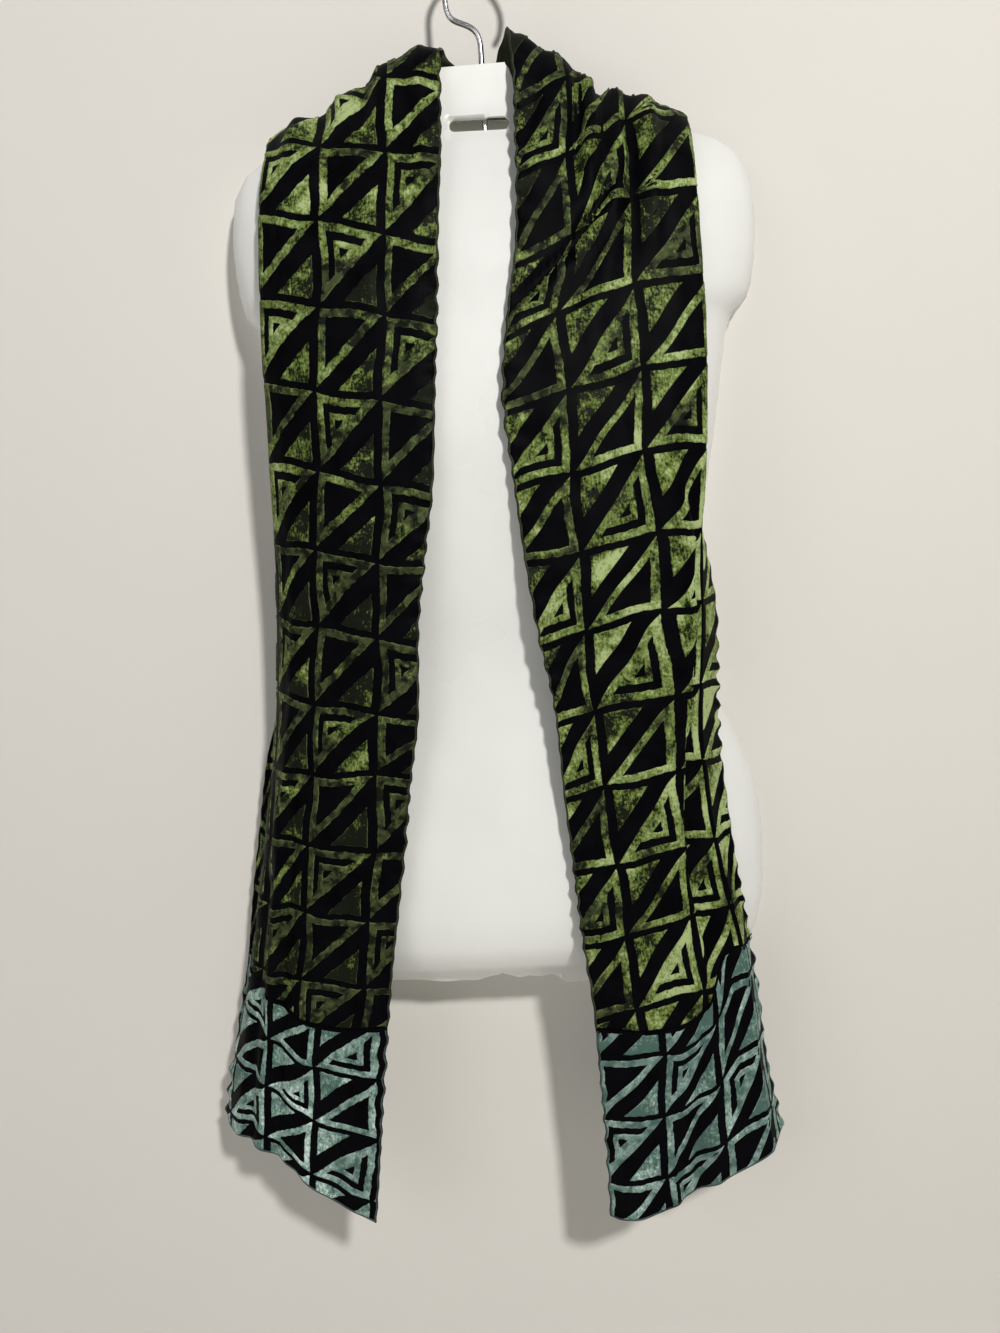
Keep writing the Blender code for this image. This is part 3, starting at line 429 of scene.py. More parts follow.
class Side:
    """The half of the dupatta that hangs on one side of the neck."""

    def __init__(self, sign, panel, ridge, seam, hem, folds):
        self.sign = sign
        self.panel = columns(PANEL_NAMES, panel)
        self.ridge = columns(RIDGE_NAMES, ridge)
        self.lines = {"seam": columns(LINE_NAMES, seam), "hem": columns(LINE_NAMES, hem)}
        self.folds = [dict(zip(FOLD_NAMES, fold)) for fold in folds]
        self.levels = np.linspace(panel[0][0], panel[-1][0], SECTION_STEPS)
        self.worked_out = self.work_out_creases(self.levels)

    def creases(self, drop):
        """The section at each drop, read from those worked out at close levels."""
        at = np.clip((drop - self.levels[0]) / (self.levels[1] - self.levels[0]), 0, len(self.levels) - 1.001)
        low = at.astype(int)
        part = at - low

        def read(table):
            share = part[:, None] if table.ndim == 2 else part
            return table[low] * (1 - share) + table[low + 1] * share

        return [read(table) for table in self.worked_out]

    def work_out_creases(self, drop):
        """Places across where the section is set, its values there, and its layers' offsets."""
        row = {name: glide(drop, self.panel["drop"], self.panel[name]) for name in PANEL_NAMES[1:]}
        crest_at, crest, pleat, far, outer = (row[name] for name in PANEL_NAMES[4:])
        zero = np.zeros_like(pleat)
        # A pleat turns back under its crest, runs inwards and turns outwards again.
        flat = (1 - pleat) * (far - crest) / (FAR_AT - crest_at)
        first = crest + LAYER * (flat + 0.5 * np.sin(math.pi * pleat))
        second = first + PLEAT_RUN * (flat - pleat)
        third = second + LAYER * (flat + 0.5 * np.sin(math.pi * pleat))
        under_crest = LAYER * np.sin(0.5 * math.pi * pleat)
        under_run = under_crest + 0.25 * PLEAT_RUN * np.sin(math.pi * pleat)
        under_all = under_run + LAYER * np.sin(0.5 * math.pi * pleat)
        # The outer strip lies turned behind, or stands back towards the wall by its own width.
        turned = soft_step((far - outer + TURN_FROM) / TURN_RUN)
        edge_out = TURN_OUT * turned + OPEN_OUT * (1 - turned)
        edge = far + edge_out
        strip = CLOTH_WIDTH - EDGE_AT
        falls = np.sqrt(np.maximum(strip**2 - (outer - edge) ** 2, 0))
        falls = falls - np.maximum(self.depth_at(edge, drop) - self.depth_at(outer, drop), 0)
        falls = np.clip(falls, 0, MOST_FALL) * soft_step((outer - edge + strip) / FALL_RUN)
        layer = TURNED_LAYER * turned
        after_edge = edge + (outer - edge) * TURN_CLOTH / strip * (1 - turned) - TURN_TUCK * turned
        places = [zero, zero + NEAR_AT, zero + MIDDLE_AT, crest_at, crest_at + LAYER,
                  crest_at + LAYER + PLEAT_RUN, crest_at + 2 * LAYER + PLEAT_RUN, zero + FAR_AT,
                  zero + EDGE_AT - TURN_CLOTH, zero + EDGE_AT, zero + EDGE_AT + TURN_CLOTH,
                  zero + CLOTH_WIDTH]
        out = [row["inner"], row["near"], row["middle"], crest, first, second, third, far,
               far + TURN_LEAD * edge_out, edge, after_edge, outer]
        recover = under_all * (1 - turned)
        behind = [under_all - w * recover + t * layer for w, t in zip(WON_BACK, TURNED_UNDER)]
        layers = [zero] * 4 + [under_crest, under_run, under_all] + behind
        falls = [zero] * 10 + [FALL_START * falls, falls]
        return [np.stack(values, axis=-1) for values in (places, out, layers, falls)] + [turned]

    def depth_at(self, out, drop):
        return hang_depth(self.sign * out, drop)

    def section(self, across, drop):
        """Distance from the middle, the layers' offset and the fall towards the wall, at a place."""
        places, out, layers, falls, turned = self.creases(drop)
        return [glide(across, places, values) for values in (out, layers, falls)] + [turned]

    def across_at(self, share, drop, counts):
        """Where a column of the cloth's grid lies across it."""
        places = self.creases(drop)[0]
        ends = np.cumsum((0,) + counts) / sum(counts)
        return np.array([np.interp(one, ends, row) for one, row in zip(share, places)])

    def line(self, name, across):
        return glide(across, self.lines[name]["across"], self.lines[name]["drop"])

    def ridge_drop(self, across):
        """Drop of the shoulder's turn for a place across the cloth; a layer underneath turns lower."""
        out, _, _, turned = self.section(across, np.full_like(across, RIDGE_AT))
        under = RIDGE_UNDER * turned * soft_step((across - EDGE_AT + TURN_CLOTH) / (2 * TURN_CLOTH))
        return glide(out, self.ridge["out"], self.ridge["drop"]) + under

    def front(self, across, drop):
        out, layers, falls, _ = self.section(across, drop)
        below = np.clip((drop - self.ridge_drop(across)) / RIDGE_ROUND, 0, 1)
        rounded = np.sqrt(1 - (1 - below) ** 2)
        step = SLOPE_STEP
        slope = (self.depth_at(out + step, drop) - self.depth_at(out - step, drop)) / (2 * step)
        slant = np.minimum(np.hypot(1, slope), MOST_SLANT)
        depth = self.depth_at(out, drop) + folds_height(self.folds, across, drop) - layers * slant - falls
        depth = np.maximum(depth, skin_depth(self.sign * out, drop) + FORM_CLEARANCE)
        depth = RIDGE_FORWARD + (depth - RIDGE_FORWARD) * rounded
        return np.stack([self.sign * out, RIM_PLANE - depth, -drop], axis=-1)

    def neck(self, across, share):
        """From the shoulder's turn, share 0, to the middle of the back of the neck, share 1."""
        start = self.front(across, self.ridge_drop(across))
        turned = soft_step((across - EDGE_AT + TURN_CLOTH) / (2 * TURN_CLOTH))
        main = np.minimum(across, 2 * EDGE_AT - across)
        wave = NECK_FOLD_HEIGHT * np.sin(2 * math.pi * NECK_FOLDS * main / EDGE_AT)
        end_drop = NECK_TOP + (NECK_FOOT - NECK_TOP) * main / EDGE_AT
        end_y = RIM_PLANE - NECK_DEPTH - wave - NECK_TURNED_LAYER * turned
        end = np.stack([0 * across, end_y, -end_drop], axis=-1)
        reach = np.abs(start[:, 0])
        back = NECK_BACK_PULL + NECK_BACK_GROWTH * reach
        leave = np.stack([-self.sign * (NECK_LEAVE[0] + NECK_LEAVE[1] * reach), back, 0 * across], axis=-1)
        lift = NECK_BILLOW * np.exp(-(((across - BILLOW_AT) / BILLOW_HALF) ** 2))
        aside = np.stack([0 * across, -NECK_TURNED_ASIDE * turned, lift], axis=-1)
        inward = -self.sign * (NECK_ARRIVE[0] + NECK_ARRIVE[1] * reach)
        arrive = np.stack([inward, 0 * across, 0 * across], axis=-1)
        first = RIDGE_GAP / np.linalg.norm(leave, axis=-1)
        s = (first + (1 - first) * share)[:, None]
        return (
            start * (1 + 2 * s) * (1 - s) ** 2
            + leave * s * (1 - s) ** 2
            + end * s**2 * (3 - 2 * s)
            - arrive * s**2 * (1 - s)
            + 27 / 4 * aside * s * (1 - s) ** 2  # at its most by aside itself
        )


LEFT = Side(-1, LEFT_PANEL, LEFT_RIDGE, LEFT_SEAM, LEFT_HEM, LEFT_FOLDS)
RIGHT = Side(1, RIGHT_PANEL, RIGHT_RIDGE, RIGHT_SEAM, RIGHT_HEM, RIGHT_FOLDS)


# --- pattern --------------------------------------------------------------------------------------
# Cells are CELL wide across the cloth. Drops of the lines between their rows, down the columns'
# lines "a" and "b", which are the first two from the neck edge; line a is "a_across" from it.
CELL = 0.056
ROW_NAMES = ("a_across", "a_drop", "b_drop")
LEFT_ROWS = (
    (0.046, 0.169, 0.162), (0.045, 0.234, 0.221), (0.044, 0.295, 0.284), (0.043, 0.358, 0.347),
    (0.041, 0.417, 0.405), (0.039, 0.473, 0.464), (0.036, 0.530, 0.5215), (0.033, 0.588, 0.580),
    (0.030, 0.636, 0.636), (0.028, 0.695, 0.692), (0.026, 0.749, 0.746), (0.025, 0.802, 0.8005),
    (0.025, 0.856, 0.855),
)
RIGHT_ROWS = (
    (0.045, 0.176, 0.148), (0.045, 0.241, 0.212), (0.045, 0.300, 0.278), (0.044, 0.358, 0.340),
    (0.043, 0.415, 0.400), (0.042, 0.4725, 0.461), (0.041, 0.531, 0.517), (0.040, 0.592, 0.581),
    (0.039, 0.651, 0.640), (0.038, 0.7105, 0.700), (0.037, 0.767, 0.756), (0.036, 0.826, 0.815),
    (0.035, 0.885, 0.874),
)
NECK_ROW = 0.0625  # from row to row above the first one, as a drop
NECK_CELLS = 8  # rows between the first line on the left and the one on the right
END_LINES = {-1: 0.002, 1: -0.006}  # by side, where the end panels' first column starts across
END_STARTS = {-1: 0.043, 1: 0.021}  # and how far below the seam their first whole row starts
END_ROW = 0.0520
SEAM_LAP = 0.004  # how far the end panels go on behind the green cloth
HEM_WIDTH = 0.0015
HALF_CLOTH = 0.0004
PILE_TOP, PILE_FOOT = 0.0013, 0.0002  # above the middle of the cloth
BAR_TOP, PILE_RIM = PILE_TOP * 0.84, PILE_TOP * 0.62  # of the rings' narrow bars, and at every edge
SWELL, PUCKER = 0.0009, 0.0020  # heights of the crushed cloth's dents and of the hems' puckers
SCALLOP = 0.0010  # how far the puckers draw the edge in
PUCKER_LENGTH = 0.0175
PUCKER_REACH, SCALLOP_REACH = 0.009, 0.012  # how far in from the edge both run
LOOSE_TO, LOOSE_FADE = EDGE_AT - 0.006, 0.02  # across: where the dents end, short of the turned strip
MOST_DENT = 0.0030
MIDDLE_BLEND = 0.04  # length behind the neck over which the two sides come to agree
PULL = 0.0011  # how far the pattern is pulled out of true
FRAY = 0.00022  # and how ragged its edges are

# Smaller folds than the sides' own, in tables like theirs.
LEFT_SMALL_FOLDS = (
    (0.022, 0.050, 0.010, 0.250, 0.0030, 0.006),
    (0.046, 0.030, 0.052, 0.160, 0.0040, 0.007),
    (0.062, 0.030, 0.066, 0.170, -0.0035, 0.006),
    (0.084, 0.030, 0.086, 0.160, 0.0045, 0.008),
    (0.103, 0.030, 0.105, 0.180, -0.0035, 0.006),
    (0.124, 0.030, 0.122, 0.190, 0.0045, 0.008),
    (0.098, 0.100, 0.088, 0.260, -0.0030, 0.006),
    (0.070, 0.220, 0.020, 0.330, -0.0020, 0.007),
    (0.132, 0.140, 0.128, 0.330, 0.0022, 0.007),
    (0.040, 0.330, 0.085, 0.430, 0.0020, 0.010),
    (0.090, 0.460, 0.050, 0.640, -0.0025, 0.009),
    (0.100, 0.600, 0.104, 1.060, -0.0035, 0.007),
    (0.134, 0.640, 0.136, 1.060, -0.0030, 0.006),
    (0.030, 0.700, 0.036, 0.900, 0.0025, 0.010),
    (0.090, 0.860, 0.060, 1.020, 0.0030, 0.008),
    (0.114, 0.640, 0.150, 0.770, 0.0025, 0.006),
    (0.144, 0.760, 0.110, 0.900, -0.0025, 0.006),
)
RIGHT_SMALL_FOLDS = (
    (0.034, 0.050, 0.006, 0.180, -0.0035, 0.006),
    (0.060, 0.040, 0.046, 0.215, -0.0035, 0.0055),
    (0.072, 0.040, 0.058, 0.225, 0.0035, 0.0060),
    (0.083, 0.040, 0.074, 0.235, -0.0030, 0.0060),
    (0.093, 0.040, 0.088, 0.240, 0.0035, 0.0065),
    (0.108, 0.180, 0.034, 0.330, -0.0020, 0.007),
    (0.098, 0.200, 0.002, 0.310, 0.0035, 0.006),
    (0.114, 0.060, 0.116, 0.260, 0.0035, 0.006),
    (0.044, 0.300, 0.030, 0.420, 0.0022, 0.008),
    (0.084, 0.340, 0.104, 0.470, -0.0022, 0.007),
    (0.060, 0.480, 0.072, 0.640, 0.0025, 0.010),
    (0.030, 0.600, 0.040, 0.780, -0.0022, 0.008),
    (0.078, 0.700, 0.084, 0.900, 0.0030, 0.006),
    (0.056, 0.850, 0.074, 1.040, -0.0030, 0.006),
    (0.104, 0.860, 0.098, 1.040, 0.0030, 0.007),
)

# Motifs, in shares of a cell from the corner that the solid triangle fills. Each is a triangle with
# its right angle at the corner given and two legs of one length, and a ring's bars have their width.
SOLID_CORNER, SOLID_LEG = (0.068, 0.048), 0.51
RING_CORNER, RING_LEG, RING_BAR = (0.934, 0.957), 0.935, 0.098
NEST_CORNER, NEST_LEG, NEST_BAR = (0.742, 0.760), 0.412, 0.078


def pulled(across, drop):
    """Pulls the pattern a little out of true, as crushed cloth is, by waves that never fall in step."""
    aside = np.sin(52 * drop + 31 * across) + 0.6 * np.sin(97 * drop - 44 * across + 1.7)
    down = np.sin(64 * across + 23 * drop + 0.8) + 0.6 * np.sin(105 * across - 61 * drop + 2.9)
    ragged = np.sin(870 * across + 310 * drop) + np.sin(1050 * drop - 420 * across + 1.2)
    return across + PULL * aside + FRAY * ragged, drop + PULL * down - FRAY * ragged


class Cloth:
    """One side of the dupatta, with its pattern's rows."""

    WIDTH_STEPS, NECK_SHARES = 38, 25  # places at which lengths round the neck are worked out
    NORMAL_STEP = 0.0007

    def __init__(self, side, rows, parity, outer_slope, small_folds):
        self.side = side
        self.outer_slope = outer_slope
        self.small_folds = [dict(zip(FOLD_NAMES, fold)) for fold in small_folds]
        self.rows = columns(ROW_NAMES, rows)
        self.parity = parity
        across = np.linspace(0, CLOTH_WIDTH, self.WIDTH_STEPS)
        shares = np.linspace(0, 1, self.NECK_SHARES)
        grid = np.meshgrid(across, shares, indexing="ij")
        points = side.neck(grid[0].ravel(), grid[1].ravel()).reshape(self.WIDTH_STEPS, self.NECK_SHARES, 3)
        steps = np.linalg.norm(np.diff(points, axis=1), axis=2)
        start = np.zeros((self.WIDTH_STEPS, 1))
        self.neck_lengths = np.concatenate([start, np.cumsum(steps, axis=1)], axis=1)
        self.neck_across = across

    def neck_length(self, across):
        return np.interp(across, self.neck_across, self.neck_lengths[:, -1])

    def neck_share(self, across, length):
        """Share of the way round the neck after a length of cloth past the shoulder's turn."""
        table = self.neck_lengths
        at = np.clip(across / CLOTH_WIDTH, 0, 1) * (len(table) - 1)
        low = np.minimum(at.astype(int), len(table) - 2)
        part = (at - low)[:, None]
        row = table[low] * (1 - part) + table[low + 1] * part
        place = np.clip((row[:, 1:-1] <= length[:, None]).sum(axis=1), 0, row.shape[1] - 2)
        start = np.take_along_axis(row, place[:, None], axis=1)[:, 0]
        end = np.take_along_axis(row, place[:, None] + 1, axis=1)[:, 0]
        return np.clip((place + np.clip((length - start) / (end - start), 0, 1)) / (row.shape[1] - 1), 0, 1)

    def bare_point(self, across, drop):
        side = self.side
        ridge = side.ridge_drop(across)
        hanging = side.front(across, np.maximum(drop, ridge))
        behind = side.neck(across, self.neck_share(across, np.maximum(ridge - drop, 0)))
        return np.where((drop >= ridge)[:, None], hanging, behind)

    def relief(self, across, drop):
        """Dents and swellings of the crushed cloth, its small folds and the puckers of its hems."""
        sign = self.side.sign
        loose = soft_step((LOOSE_TO - across) / LOOSE_FADE)
        swell = (
            np.sin(61 * drop + 90 * across + 1.3 * sign) * np.sin(113 * across - 37 * drop)
            + 0.7 * np.sin(139 * drop - 71 * across + 2.1) * np.sin(83 * across + 29 * drop + sign)
        )
        total = SWELL * swell * loose + folds_height(self.small_folds, across, drop)
        for edge in (0.0, CLOTH_WIDTH):
            near = np.exp(-(((across - edge) / PUCKER_REACH) ** 2))
            total = total + PUCKER * near * self.pucker(edge, drop)
        return np.maximum(total, -MOST_DENT) * self.off_middle(across, drop)

    def pucker(self, edge, drop):
        """Waves along a long edge, from -1 to 1."""
        beat = 0.65 + 0.35 * np.sin(33 * drop + 2 * self.side.sign + 300 * edge)
        shift = 10 * edge + 1.6 * np.sin(41 * drop + self.side.sign)
        return beat * np.sin(2 * math.pi * drop / PUCKER_LENGTH + shift)

    def scallop(self, across, drop):
        """How far the hems' puckers draw a place in towards the middle of the cloth's width."""
        total = 0.0
        for edge, way in ((0.0, 1), (CLOTH_WIDTH, -1)):
            near = np.exp(-(((across - edge) / SCALLOP_REACH) ** 2))
            total = total + way * SCALLOP * near * (1 + self.pucker(edge, drop + 0.004))
        return total * self.off_middle(across, drop)

    def off_middle(self, across, drop):
        """Brings what differs between the two sides to nothing behind the middle of the neck."""
        return soft_step((drop - self.side.ridge_drop(across) + self.neck_length(across)) / MIDDLE_BLEND)

    def point(self, across, drop, lift=0.0):
        """The place in space of a place on the cloth, lifted off its right side by lift."""
        rise = self.relief(across, drop) + lift
        across = across + self.scallop(across, drop)
        step = self.NORMAL_STEP
        along = self.bare_point(across, drop + step) - self.bare_point(across, drop - step)
        aside = self.bare_point(across + step, drop) - self.bare_point(across - step, drop)
        outward = -self.side.sign * np.cross(aside, along)
        outward /= np.maximum(np.linalg.norm(outward, axis=1), 1e-12)[:, None]
        return self.bare_point(across, drop) + outward * np.asarray(rise)[:, None]

    def seam(self, across):
        return self.side.line("seam", across)

    def hem(self, across):
        return self.side.line("hem", across)

    def cell_place(self, column, row):
        """Place on the cloth of a place in the pattern, with row 0 at the first line of the table."""
        at = np.arange(len(self.rows["a_drop"]))
        a_drop = np.interp(row, at, self.rows["a_drop"]) + np.minimum(row, 0) * NECK_ROW
        b_drop = np.interp(row, at, self.rows["b_drop"]) + np.minimum(row, 0) * NECK_ROW
        across = np.interp(row, at, self.rows["a_across"]) + CELL * column
        drop = a_drop + (b_drop - a_drop) * np.where(column > 1, 1 + (column - 1) * self.outer_slope, column)
        across, drop = pulled(across, drop)
        inside = np.clip(across, 0, CLOTH_WIDTH)
        ridge = self.side.ridge_drop(inside)
        return across, np.where(drop < ridge, ridge - (ridge - drop) * neck_stretch(inside), drop)

    def rows_to_ridge(self, across):
        """Rows from the first line of the table up to the shoulder's turn."""
        column = (across - self.rows["a_across"][0]) / CELL
        start = self.rows["a_drop"][0] + (self.rows["b_drop"][0] - self.rows["a_drop"][0]) * column
        return (start - self.side.ridge_drop(across)) / NECK_ROW


LEFT_CLOTH = Cloth(LEFT, LEFT_ROWS, 1, 1.0, LEFT_SMALL_FOLDS)
RIGHT_CLOTH = Cloth(RIGHT, RIGHT_ROWS, 0, 0.35, RIGHT_SMALL_FOLDS)


def neck_stretch(across):
    """How much longer the rows behind the shoulders are, so that NECK_CELLS of them fit between."""
    hanging = LEFT_CLOTH.rows_to_ridge(across) + RIGHT_CLOTH.rows_to_ridge(across)
    length = LEFT_CLOTH.neck_length(across) + RIGHT_CLOTH.neck_length(across)
    return length / (NECK_ROW * (NECK_CELLS - hanging))


# --- making pieces --------------------------------------------------------------------------------
def add_piece(name, bm, *finishes):
    mesh = bpy.data.meshes.new(name)
    bm.to_mesh(mesh)
    bm.free()
    mesh.shade_smooth()
    obj = bpy.data.objects.new(name, mesh)
    bpy.context.scene.collection.objects.link(obj)
    for finish in finishes:
        mesh.materials.append(finish)
    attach(obj, "root")
    return obj


def lattice(across_count, up_count):
    """A bmesh grid and its vertices' shares across and up it."""
    bm = bmesh.new()
    bmesh.ops.create_grid(bm, x_segments=across_count, y_segments=up_count, size=0.5)
    shares = np.round(np.array([vert.co[:2] for vert in bm.verts]) + 0.5, 6)
    return bm, shares[:, 0], shares[:, 1]


def move_verts(bm, points):
    for vert, point in zip(bm.verts, points):
        vert.co = point


def lay_out(bm, across, drop, **shares):
    """Gives the faces a UV map in metres of cloth, and the vertices attributes named as given."""
    layer = bm.loops.layers.uv.new("cloth")
    for name, values in shares.items():
        attribute = bm.verts.layers.float.new(name)
        for vert, value in zip(bm.verts, values):
            vert[attribute] = value
    for face in bm.faces:
        for loop in face.loops:
            loop[layer].uv = (across[loop.vert.index], -drop[loop.vert.index])


def thicken(obj, wall, offset, wrong_side=0, rim=0):
    solid = obj.modifiers.new("wall", "SOLIDIFY")
    solid.thickness = wall
    solid.offset = offset
    solid.material_offset = wrong_side
    solid.material_offset_rim = rim
    return obj


# --- cloth pieces ---------------------------------------------------------------------------------
# Columns between the places where a section is set: inner, near, middle, crest, its three further
# creases, far, before the edge, edge, after it, outer.
FINE_COLUMNS = (9, 9, 8, 4, 6, 4, 4, 3, 3, 3, 9)
FRONT_STEPS, NECK_STEPS, END_STEPS = 190, 56, 40
SEAM_OFF = 0.0003  # from the seam's line to the green cloth's end
LAP_BACK, LAP_FADE = 0.0012, 0.003  # how far the end panel's lap lies behind it, and how soon
FIRST_DROP, SETTLING_ROUNDS, SECTION_DROPS = 0.4, 6, (0.08, 1.05)


def settled_places(cloth, across, drop_of):
    """Places across and drops of a grid's corners, whose columns follow the cloth's creases."""
    drop = np.full_like(across, FIRST_DROP)
    for _ in range(SETTLING_ROUNDS):
        width = cloth.side.across_at(across, np.clip(drop, *SECTION_DROPS), FINE_COLUMNS)
        drop = drop_of(width)
    return width, drop


def add_green_cloth(finishes):
    """One sheet from seam to seam, along which up runs from the left end to the right one."""
    half = FRONT_STEPS + NECK_STEPS
    bm, across, up = lattice(sum(FINE_COLUMNS), 2 * half)
    step = np.round(up * 2 * half)
    points = np.zeros((len(across), 3))
    widths, drops = np.zeros_like(across), np.zeros_like(across)
    for cloth, mine in ((LEFT_CLOTH, step <= half), (RIGHT_CLOTH, step > half)):
        climb = step[mine] if cloth is LEFT_CLOTH else 2 * half - step[mine]

        def drop_of(width):
            ridge, foot = cloth.side.ridge_drop(width), cloth.seam(width) - SEAM_OFF
            hanging = foot + (ridge - foot) * np.minimum(climb / FRONT_STEPS, 1)
            return hanging - cloth.neck_length(width) * np.clip((climb - FRONT_STEPS) / NECK_STEPS, 0, 1)

        width, drop = settled_places(cloth, across[mine], drop_of)
        points[mine] = cloth.point(width, drop)
        widths[mine] = width
        drops[mine] = drop if cloth is LEFT_CLOTH else -drop
    move_verts(bm, points)
    lay_out(bm, widths, drops)
    bmesh.ops.reverse_faces(bm, faces=bm.faces)
    obj = thicken(add_piece("green_cloth", bm, *finishes), 2 * HALF_CLOTH, 0, 1, 1)
    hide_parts("green_front_left", "green_front_right", "green_neck")
    return obj


def add_end_cloth(cloth, word, finishes):
    bm, across, up = lattice(sum(FINE_COLUMNS), END_STEPS)

    def drop_of(width):
        top = cloth.seam(width) - SEAM_LAP
        return top + (cloth.hem(width) - top) * (1 - up)

    width, drop = settled_places(cloth, across, drop_of)
    behind = soft_step((cloth.seam(width) + LAP_FADE - drop) / LAP_FADE)
    move_verts(bm, cloth.point(width, drop, -LAP_BACK * behind))
    lay_out(bm, width, drop)
    if cloth.side.sign < 0:
        bmesh.ops.reverse_faces(bm, faces=bm.faces)
    obj = thicken(add_piece("teal_cloth_" + word, bm, *finishes), 2 * HALF_CLOTH, 0, 1, 1)
    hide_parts("teal_end_" + word)
    return obj


# --- pile -----------------------------------------------------------------------------------------
def triangle(corner, leg):
    """A right-angled triangle's corners, the right angle first, its legs running towards 0."""
    return np.array([corner, (corner[0] - leg, corner[1]), (corner[0], corner[1] - leg)])


def drawn_in(outer, bar):
    """The same triangle with each side moved in by bar."""
    corner = outer[0] - bar
    leg = (outer[0] - outer[1])[0] - bar * (2 + math.sqrt(2))
    return triangle(corner, leg)


def add_band(bm, outer, inner, along, shares, heights):
    """A raised band between two triangles: heights are of the pile at the shares between them."""
    made = []
    for i in range(3):
        strip = bmesh.ops.create_grid(bm, x_segments=along, y_segments=len(shares) - 1, size=0.5)["verts"]
        made += strip
        j = (i + 1) % 3
        for vert in strip:
            run = vert.co.x + 0.5
            k = round((vert.co.y + 0.5) * (len(shares) - 1))
            edge = outer[i] * (1 - run) + outer[j] * run
            hole = inner[i] * (1 - run) + inner[j] * run
            place = edge * (1 - shares[k]) + hole * shares[k]
            vert.co = (place[0], place[1], heights[k])
    bmesh.ops.remove_doubles(bm, verts=made, dist=1e-5)


MOTIF_STEPS = {"solid": 14, "ring": 22, "nest": 11}  # along each side of a triangle


def motif(kind):
    """A motif's mesh in one cell, x and y being shares of it and z the height over the cloth."""
    bm = bmesh.new()
    if kind == "solid":
        outer = triangle(SOLID_CORNER, -SOLID_LEG)
        middle = outer.mean(axis=0)
        inner = middle + (outer - middle) * 0.02
        shares = (0.0, 0.05, 0.2, 0.4, 0.6, 0.8, 1.0)
        add_band(bm, outer, inner, MOTIF_STEPS["solid"], shares, (PILE_RIM,) + (PILE_TOP,) * 6)
    else:
        heights = (PILE_RIM, BAR_TOP, BAR_TOP, PILE_RIM)
        outer = triangle(RING_CORNER, RING_LEG)
        add_band(bm, outer, drawn_in(outer, RING_BAR), MOTIF_STEPS["ring"], (0.0, 0.18, 0.82, 1.0), heights)
        if kind == "nested":
            nest = triangle(NEST_CORNER, NEST_LEG)
            add_band(bm, nest, drawn_in(nest, NEST_BAR), MOTIF_STEPS["nest"], (0.0, 0.2, 0.8, 1.0), heights)
    bmesh.ops.recalc_face_normals(bm, faces=bm.faces)
    rim = [edge for edge in bm.edges if edge.is_boundary]
    skirt = bmesh.ops.extrude_edge_only(bm, edges=rim)["geom"]
    for item in skirt:
        if isinstance(item, bmesh.types.BMVert):
            item.co.z = PILE_FOOT
    mesh = bpy.data.meshes.new(kind)
    bm.to_mesh(mesh)
    bm.free()
    return mesh


def trim(bm, place, limits, mirrored):
    """Lays the motifs out on the cloth and cuts them off at the limits: the least and most place
    across, and the drops of a top and a foot at a place across. Mirrored ones are turned face up."""
    at = np.array([vert.co[:] for vert in bm.verts])
    across, drop = place(at[:, 0], at[:, 1])
    low, high, top, foot = limits
    least, most = top(np.clip(across, 0, CLOTH_WIDTH)), foot(np.clip(across, 0, CLOTH_WIDTH))
    out = (across < low) | (across > high) | (drop < least) | (drop > most)
    bm.verts.ensure_lookup_table()
    gone = [face for face in bm.faces if all(out[vert.index] for vert in face.verts)]
    across, drop = np.clip(across, low, high), np.clip(drop, least, most)
    for vert, a, d in zip(bm.verts, across, drop):
        vert.co.x, vert.co.y = a, d
    bmesh.ops.delete(bm, geom=gone, context="FACES")
    if mirrored:
        bmesh.ops.reverse_faces(bm, faces=bm.faces)


MOTIFS = {kind: motif(kind) for kind in ("solid", "ring", "nested")}


def add_pile(name, cloth, cells, place, limits, flipped, finish, fade):
    """Raised motifs on the cloth. cells lists columns, rows and whether the ring there is nested."""
    bm = bmesh.new()
    for column, row, nested in cells:
        for kind in ("solid", "nested" if nested else "ring"):
            first = len(bm.verts)
            bm.from_mesh(MOTIFS[kind])
            bm.verts.ensure_lookup_table()
            for vert in bm.verts[first:]:
                x, y = vert.co.x, vert.co.y
                x, y = (1 - x if flipped[0] else x), (1 - y if flipped[1] else y)
                vert.co.x, vert.co.y = column + x, row + y
    bm.verts.index_update()
    trim(bm, place, limits, (flipped[0] != flipped[1]) != (cloth.side.sign > 0))
    bm.verts.index_update()
    at = np.array([vert.co[:] for vert in bm.verts])
    points = cloth.point(at[:, 0], at[:, 1], at[:, 2])
    # edge runs from 0 at the pile's top to 1 at its foot; the material paints a highlight along the motifs'
    # edges with it.
    edge = np.clip((PILE_TOP - at[:, 2]) / (PILE_TOP - PILE_FOOT), 0, 1)
    # The pile's lean, which its material paints as shade and highlight, and its height share are stored on
    # each vertex.
    lay_out(bm, at[:, 0], at[:, 1], nap=fade(at[:, 0], at[:, 1]), edge=edge)
    move_verts(bm, points)
    return add_piece(name, bm, finish)


def cells_of(down, across, parity):
    """Cells of the pattern, in every other one of which the ring holds a smaller one."""
    return [(column, row, (column + row) % 2 == parity) for row in down for column in across]


NAP_SHADE_DROPS = (0.02, 0.12, 0.30, 0.50)
NAP_SHADES = {-1: (0.4, 0.75, 0.1, -0.4), 1: (0.4, -0.1, 0.3, 1.0)}  # by side: how far the pile leans over, painting it lighter or darker as painted highlight and shade
END_NAP_SHADES = {-1: 0.0, 1: 1.0}
NAP_SHADE_ACROSS = 5.0  # and how much more it leans over further out, by metre, painting the outer columns lighter and the inner ones darker as highlight and shade
MIDDLE_COLUMN = 0.070
PILE_TO_SEAM = 0.0022
NECK_LAP = 0.0005  # between the two sides' pile behind the neck


